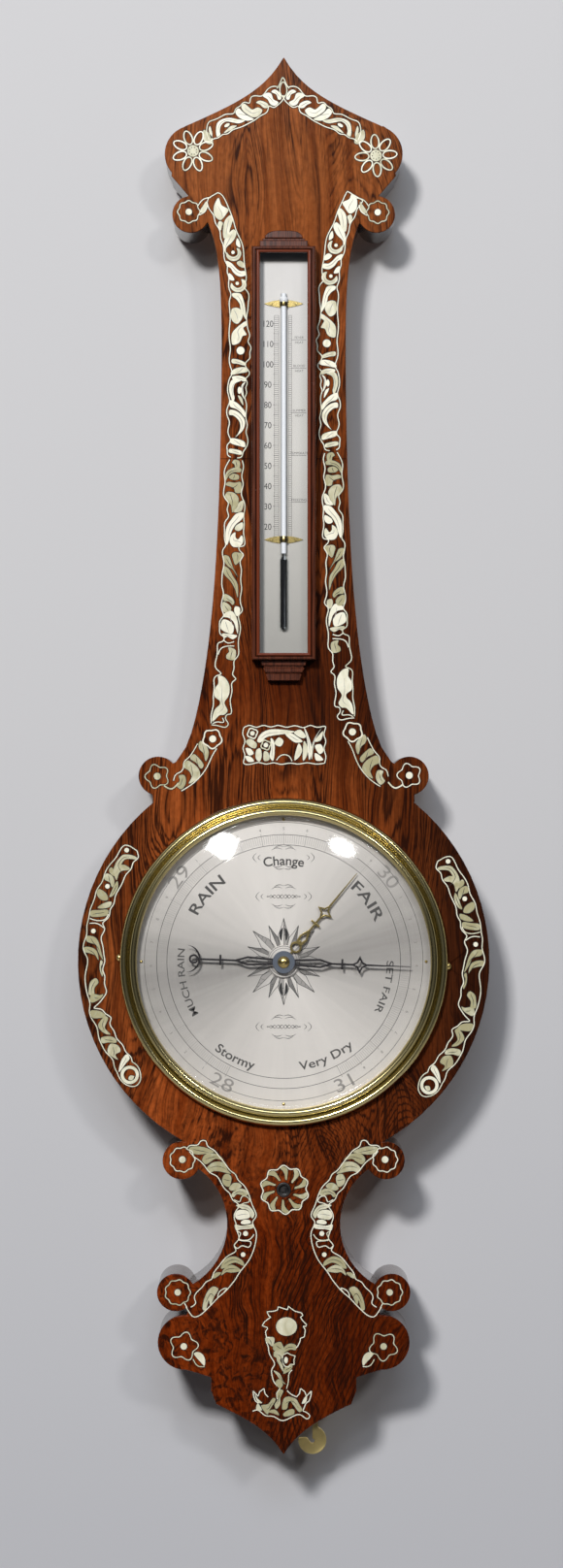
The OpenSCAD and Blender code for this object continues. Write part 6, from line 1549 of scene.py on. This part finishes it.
class BAROMETER_OT_thermometer(Operator):
    """Moulded box, engraved plate, tube and clips of the thermometer"""
    bl_idname = "barometer.thermometer"
    bl_label = "Thermometer"

    def execute(self, context):
        low, high = box_of("thermometer_frame")
        self.frame(low, high)
        self.tiers(low, high)
        dress("plate", "thermometer_plate")
        dress("aged_brass", "thermometer_clips", "clip_pins", bevel=0.12)
        dress("dome", "thermometer_glass")
        dress("stem", "thermometer_tube")
        dress("bulb", "thermometer_mercury")
        self.tip()
        self.marks()
        return {"FINISHED"}

    def tip(self):
        """Sealed end of the tube: a ball, turned about an axis that points forward."""
        low, high = box_of("thermometer_tube")
        middle, steps = (low + high) / 2, 32
        radius, drop = 3.1, 4.4
        arc = arc_of((0.0, -middle[1]), radius, -88, 88, 15)
        points, faces = turned(arc, steps, middle[0], high[2] - drop)
        ball = Piece("tube_tip").add(points, faces)
        ends = np.arange(steps) * len(arc)
        ball.faces += [(ends + len(arc) - 1)[None], ends[None, ::-1]]
        ball.build("case", "glass", finish_of("seal"), smooth=True)

    def frame(self, low, high):
        """A moulding carried round the box: a bead, a hollow and an inner bead, mitred at the corners."""
        depth = -low[1] + 1.0
        out = np.concatenate([
            [(0.0, FRONT)], [(0.0, depth - 2.4)],
            arc_of((1.5, depth - 2.4), 1.5, 180, 40, 8), [(2.75, depth - 3.1), (3.15, depth - 3.1)],
            arc_of((4.3, depth - 1.8), 1.2, 180, 20, 8),
            [(5.6, depth - 2.4), (5.6, depth - 4.4), (4.3, depth - 4.4), (4.3, FRONT)]])
        # Tones for the moulding: nought is painted shade, black in the hollow and on the box's inner wall;
        # one is a painted highlight on the inner bead; a half is the plain wood, and the tones between run
        # from one to the next.
        tone = np.r_[[0.5] * 9, 0.2, 0, 0, 0.4, [1.0] * 7, 0.1, 0, 0, 0]
        d, h = out.T
        end = 0.82  # the moulding is narrower at the top and the foot than at the sides
        left, right, foot, top = low[0] + d, high[0] - d, low[2] + d * end, high[2] - d * end
        around = ((left, foot), (right, foot), (right, top), (left, top))
        corners = np.stack([np.stack([x, z, h], -1) for x, z in around])
        piece, steps = Piece("thermometer_moulding"), 24
        u = np.linspace(0, 1, steps)[:, None, None]
        for start, stop in zip(corners, np.roll(corners, -1, 0)):
            run = start * (1 - u) + stop * u
            piece.add(placed(*np.moveaxis(run, -1, 0)), cells(steps, len(out), wrap_cols=True)[:, ::-1],
                      np.tile(tone, steps))
        piece.build("case", "rosewood", finish_of("moulding"), replaces=("thermometer_frame",))

    def tiers(self, low, high):
        """Cornice and bracket: plates one above the other, narrower the farther they are from the box."""
        top, foot = high[2], low[2]
        v = np.linspace(-1, 1, 25)
        cornice = Piece("cornice_tiers")
        for half, z0, z1, rise, out in (
                (16.5, 0, 4.6, 0, 9.0), (14.6, 4.6, 6.4, 0, 7.0), (12.9, 6.4, 8.0, 3.6, 8.0)):
            across = v if rise else v[[0, -1]]
            upper = np.stack([-half * across, top + z1 + rise * (1 - across ** 4)], -1)
            cornice.slab(np.r_[[(-half, top + z0), (half, top + z0)], upper], FRONT, FRONT + out)
        cornice.build("case", "rosewood", finish_of("moulding"), replaces=("thermometer_cornice",), bevel=0.5)
        bracket = Piece("bracket_tiers")
        for half, inner, z0, z1, out in (
                (16.0, 14.8, 0, 3.8, 9.0), (14.0, 13.2, 3.8, 5.4, 7.4), (14.2, 12.8, 5.4, 8.4, 8.6),
                (12.2, 11.8, 8.4, 9.6, 6.8), (12.4, 11.0, 9.6, 14.0, 8.0)):
            outline = [(-half, foot - z0), (-inner, foot - z1), (inner, foot - z1), (half, foot - z0)]
            bracket.slab(outline, FRONT, FRONT + out)
        bracket.build("case", "rosewood", finish_of("moulding"), replaces=("thermometer_bracket",), bevel=0.4)

    def marks(self):
        """Degree ticks at each side of the tube, figures at the left, lines with short words at the right."""
        h = -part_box("thermometer_plate")[0][1] / MM + 0.03
        degree, zero = 1.39, 437.0 - 120 * 1.39
        step = np.arange(14, 125)
        z = zero + degree * step
        ten, five = step % 10 == 0, step % 5 == 0
        piece = Piece("thermometer_engraving")
        left, right, line_end = (-6.4, -3.4), (3.3, 5.4), 15.4
        longer = np.where(ten, 1.0, np.where(five, 0.6, 0.0))
        side = np.stack([0 * z, np.where(five, 0.14, 0.10)], -1)
        for ends in ((left[0] - longer, left[1]), right):
            start, stop = (np.stack(np.broadcast_arrays(x, z), -1) for x in ends)
            piece.flat(*bars(start, stop, side), h)
        for x in (*left, *right):
            piece.flat(*bars([(x, z[0])], [(x, z[-1])], (0.1, 0)), h + HAIR)
        words = ((112, "FEVER", "HEAT"), (98, "BLOOD", "HEAT"), (76, "SUMMER", "HEAT"), (55, "TEMPERATE", ""),
                 (32, "FREEZING", ""))
        for value, first, second in words:
            at = zero + degree * value
            piece.flat(*bars([(right[1], at)], [(line_end, at)], (0, 0.12)), h + HAIR)
            for word, lift in ((first, 0.8), (second, -2.6)):
                if word:
                    plain(piece, word, 1.7, 10.6, at + lift, h, 1.0, 0.6)
        for value in range(20, 130, 10):
            plain(piece, str(value), 4.4, -10.9, zero + degree * value - 2.2, h, 0.86, 0.5)
        piece.build("case", "ebony", finish_of("wax"), thick=0.025)


def plain(piece, words, size, x, z, h, wide=1.0, tone=0.5):
    """Straight words, centred at x on a line at z."""
    points, faces = letters(words, size)
    piece.flat(points * (wide, 1) + (x, z), faces, h, tone)


class BAROMETER_OT_movement(Operator):
    """Pulleys, cords, mercury tube and weights inside the case"""
    bl_idname = "barometer.movement"
    bl_label = "Movement"

    def execute(self, context):
        dress("brass", "movement_bridge", bevel=0.2)
        dress("brass", "bridge_screws", "pulley_arbor", "float_pulley", "set_hand_pulley", "set_key_pulley",
              "counterweight")
        # Painted shade: the set key's arbor is black ebony, so that its end in the key hole is as dark as the
        # shaded hole.
        dress("ebony", "set_key_arbor")
        dress("blued", "float_weight")
        dress("silk", "set_cord")
        self.hung("float_line", "float_cord", "float", 1)
        self.hung("counterweight_line", "counterweight_cord", "balance", -1)
        self.rising()
        dress("tube", "syphon_tube", "counterweight_tube")
        dress("mercury", "mercury_column")
        dress("cork", "tube_saddles", "tube_ties", bevel=0.3)
        return {"FINISHED"}

    def drawn(self, name, node, path, radius, body, held, led, finish):
        """A tube in a node's place, closed at both ends. The body, the point where it is held and the point
        where it is led go to build as one tuple, which build does not attach: the tube is baked in place.
        """
        low, high = box_of(node)
        h = -(low[1] + high[1]) / 2
        line = Piece(name).add(*tube(path, radius, h))
        ring = np.arange(ROUND)
        line.faces += [ring[None, ::-1], (ring + line.count - ROUND)[None]]
        ends = (tuple(placed(*np.array(p, float), h)) for p in (held, led))
        line.build(("case", body, *ends), finish, finish_of(finish), smooth=True, replaces=(node,))

    def hung(self, name, node, body, side):
        """A cord over a pulley: half a turn over its top, then straight down to the weight that draws it."""
        low, high = box_of(node)
        r = (high[1] - low[1]) / 2
        reach = high[0] - r
        lap = arc_of((0.0, 0.0), reach, 180, 0, 37) * (side, 1)
        foot = (side * reach, low[2])
        self.drawn(name, node, np.concatenate([lap, [foot]]), r, body, (side * reach, 0), foot, "silk")

    def rising(self):
        """Mercury in the open limb: a straight column from the limb's foot to its top."""
        low, high = box_of("mercury_open_limb")
        x, r = (low[0] + high[0]) / 2, (high[0] - low[0]) / 2
        foot, top = (x, low[2]), (x, high[2])
        self.drawn("rising_mercury", "mercury_open_limb", [foot, top], r, "float", foot, top, "mercury")


class BAROMETER_OT_fittings(Operator):
    """Hinges, screws, hanging plate and steady hook"""
    bl_idname = "barometer.fittings"
    bl_label = "Fittings"

    def execute(self, context):
        dress("brass", "cover_screws", "case_hinge_screws", "door_hinge_screws", "hanging_screws",
              "steady_hook_screw")
        dress("brass", "case_hinge_leaves", "door_hinge_leaves", "hanging_plate", bevel=0.15)
        # Painted light: the steady hook gets the brighter copy of the brass.
        dress("painted_light_hook_brass", "steady_hook", bevel=0.5)
        return {"FINISHED"}


class BAROMETER_PT_panel(bpy.types.Panel):
    """Lists the barometer's operators and settings."""
    bl_label = "Barometer"
    bl_idname = "BAROMETER_PT_panel"
    bl_space_type = "VIEW_3D"
    bl_region_type = "UI"
    bl_category = "Barometer"

    def draw(self, context):
        for operator in OPERATORS:
            self.layout.operator(operator.bl_idname)
        for name in GROUPS:
            own = settings(name)
            for key in type(own).__annotations__:
                self.layout.prop(own, key)


GROUPS = {"case": CaseSettings, "dial": DialSettings, "stage": StageSettings}
OPERATORS = (BAROMETER_OT_stage, BAROMETER_OT_case, BAROMETER_OT_inlay, BAROMETER_OT_dial, BAROMETER_OT_bezel,
             BAROMETER_OT_hands, BAROMETER_OT_thermometer, BAROMETER_OT_movement, BAROMETER_OT_fittings)


def register():
    for group in GROUPS.values():
        bpy.utils.register_class(group)
    for name, group in GROUPS.items():
        setattr(bpy.types.Scene, "barometer_" + name, bpy.props.PointerProperty(type=group))
    for cls in (*OPERATORS, BAROMETER_PT_panel):
        bpy.utils.register_class(cls)


def unregister():
    for cls in reversed((*OPERATORS, BAROMETER_PT_panel)):
        bpy.utils.unregister_class(cls)
    for name, group in GROUPS.items():
        delattr(bpy.types.Scene, "barometer_" + name)
        bpy.utils.unregister_class(group)


def main():
    register()
    for operator in OPERATORS:
        family, name = operator.bl_idname.split(".")
        getattr(getattr(bpy.ops, family), name)()


if __name__ == "__main__":
    main()
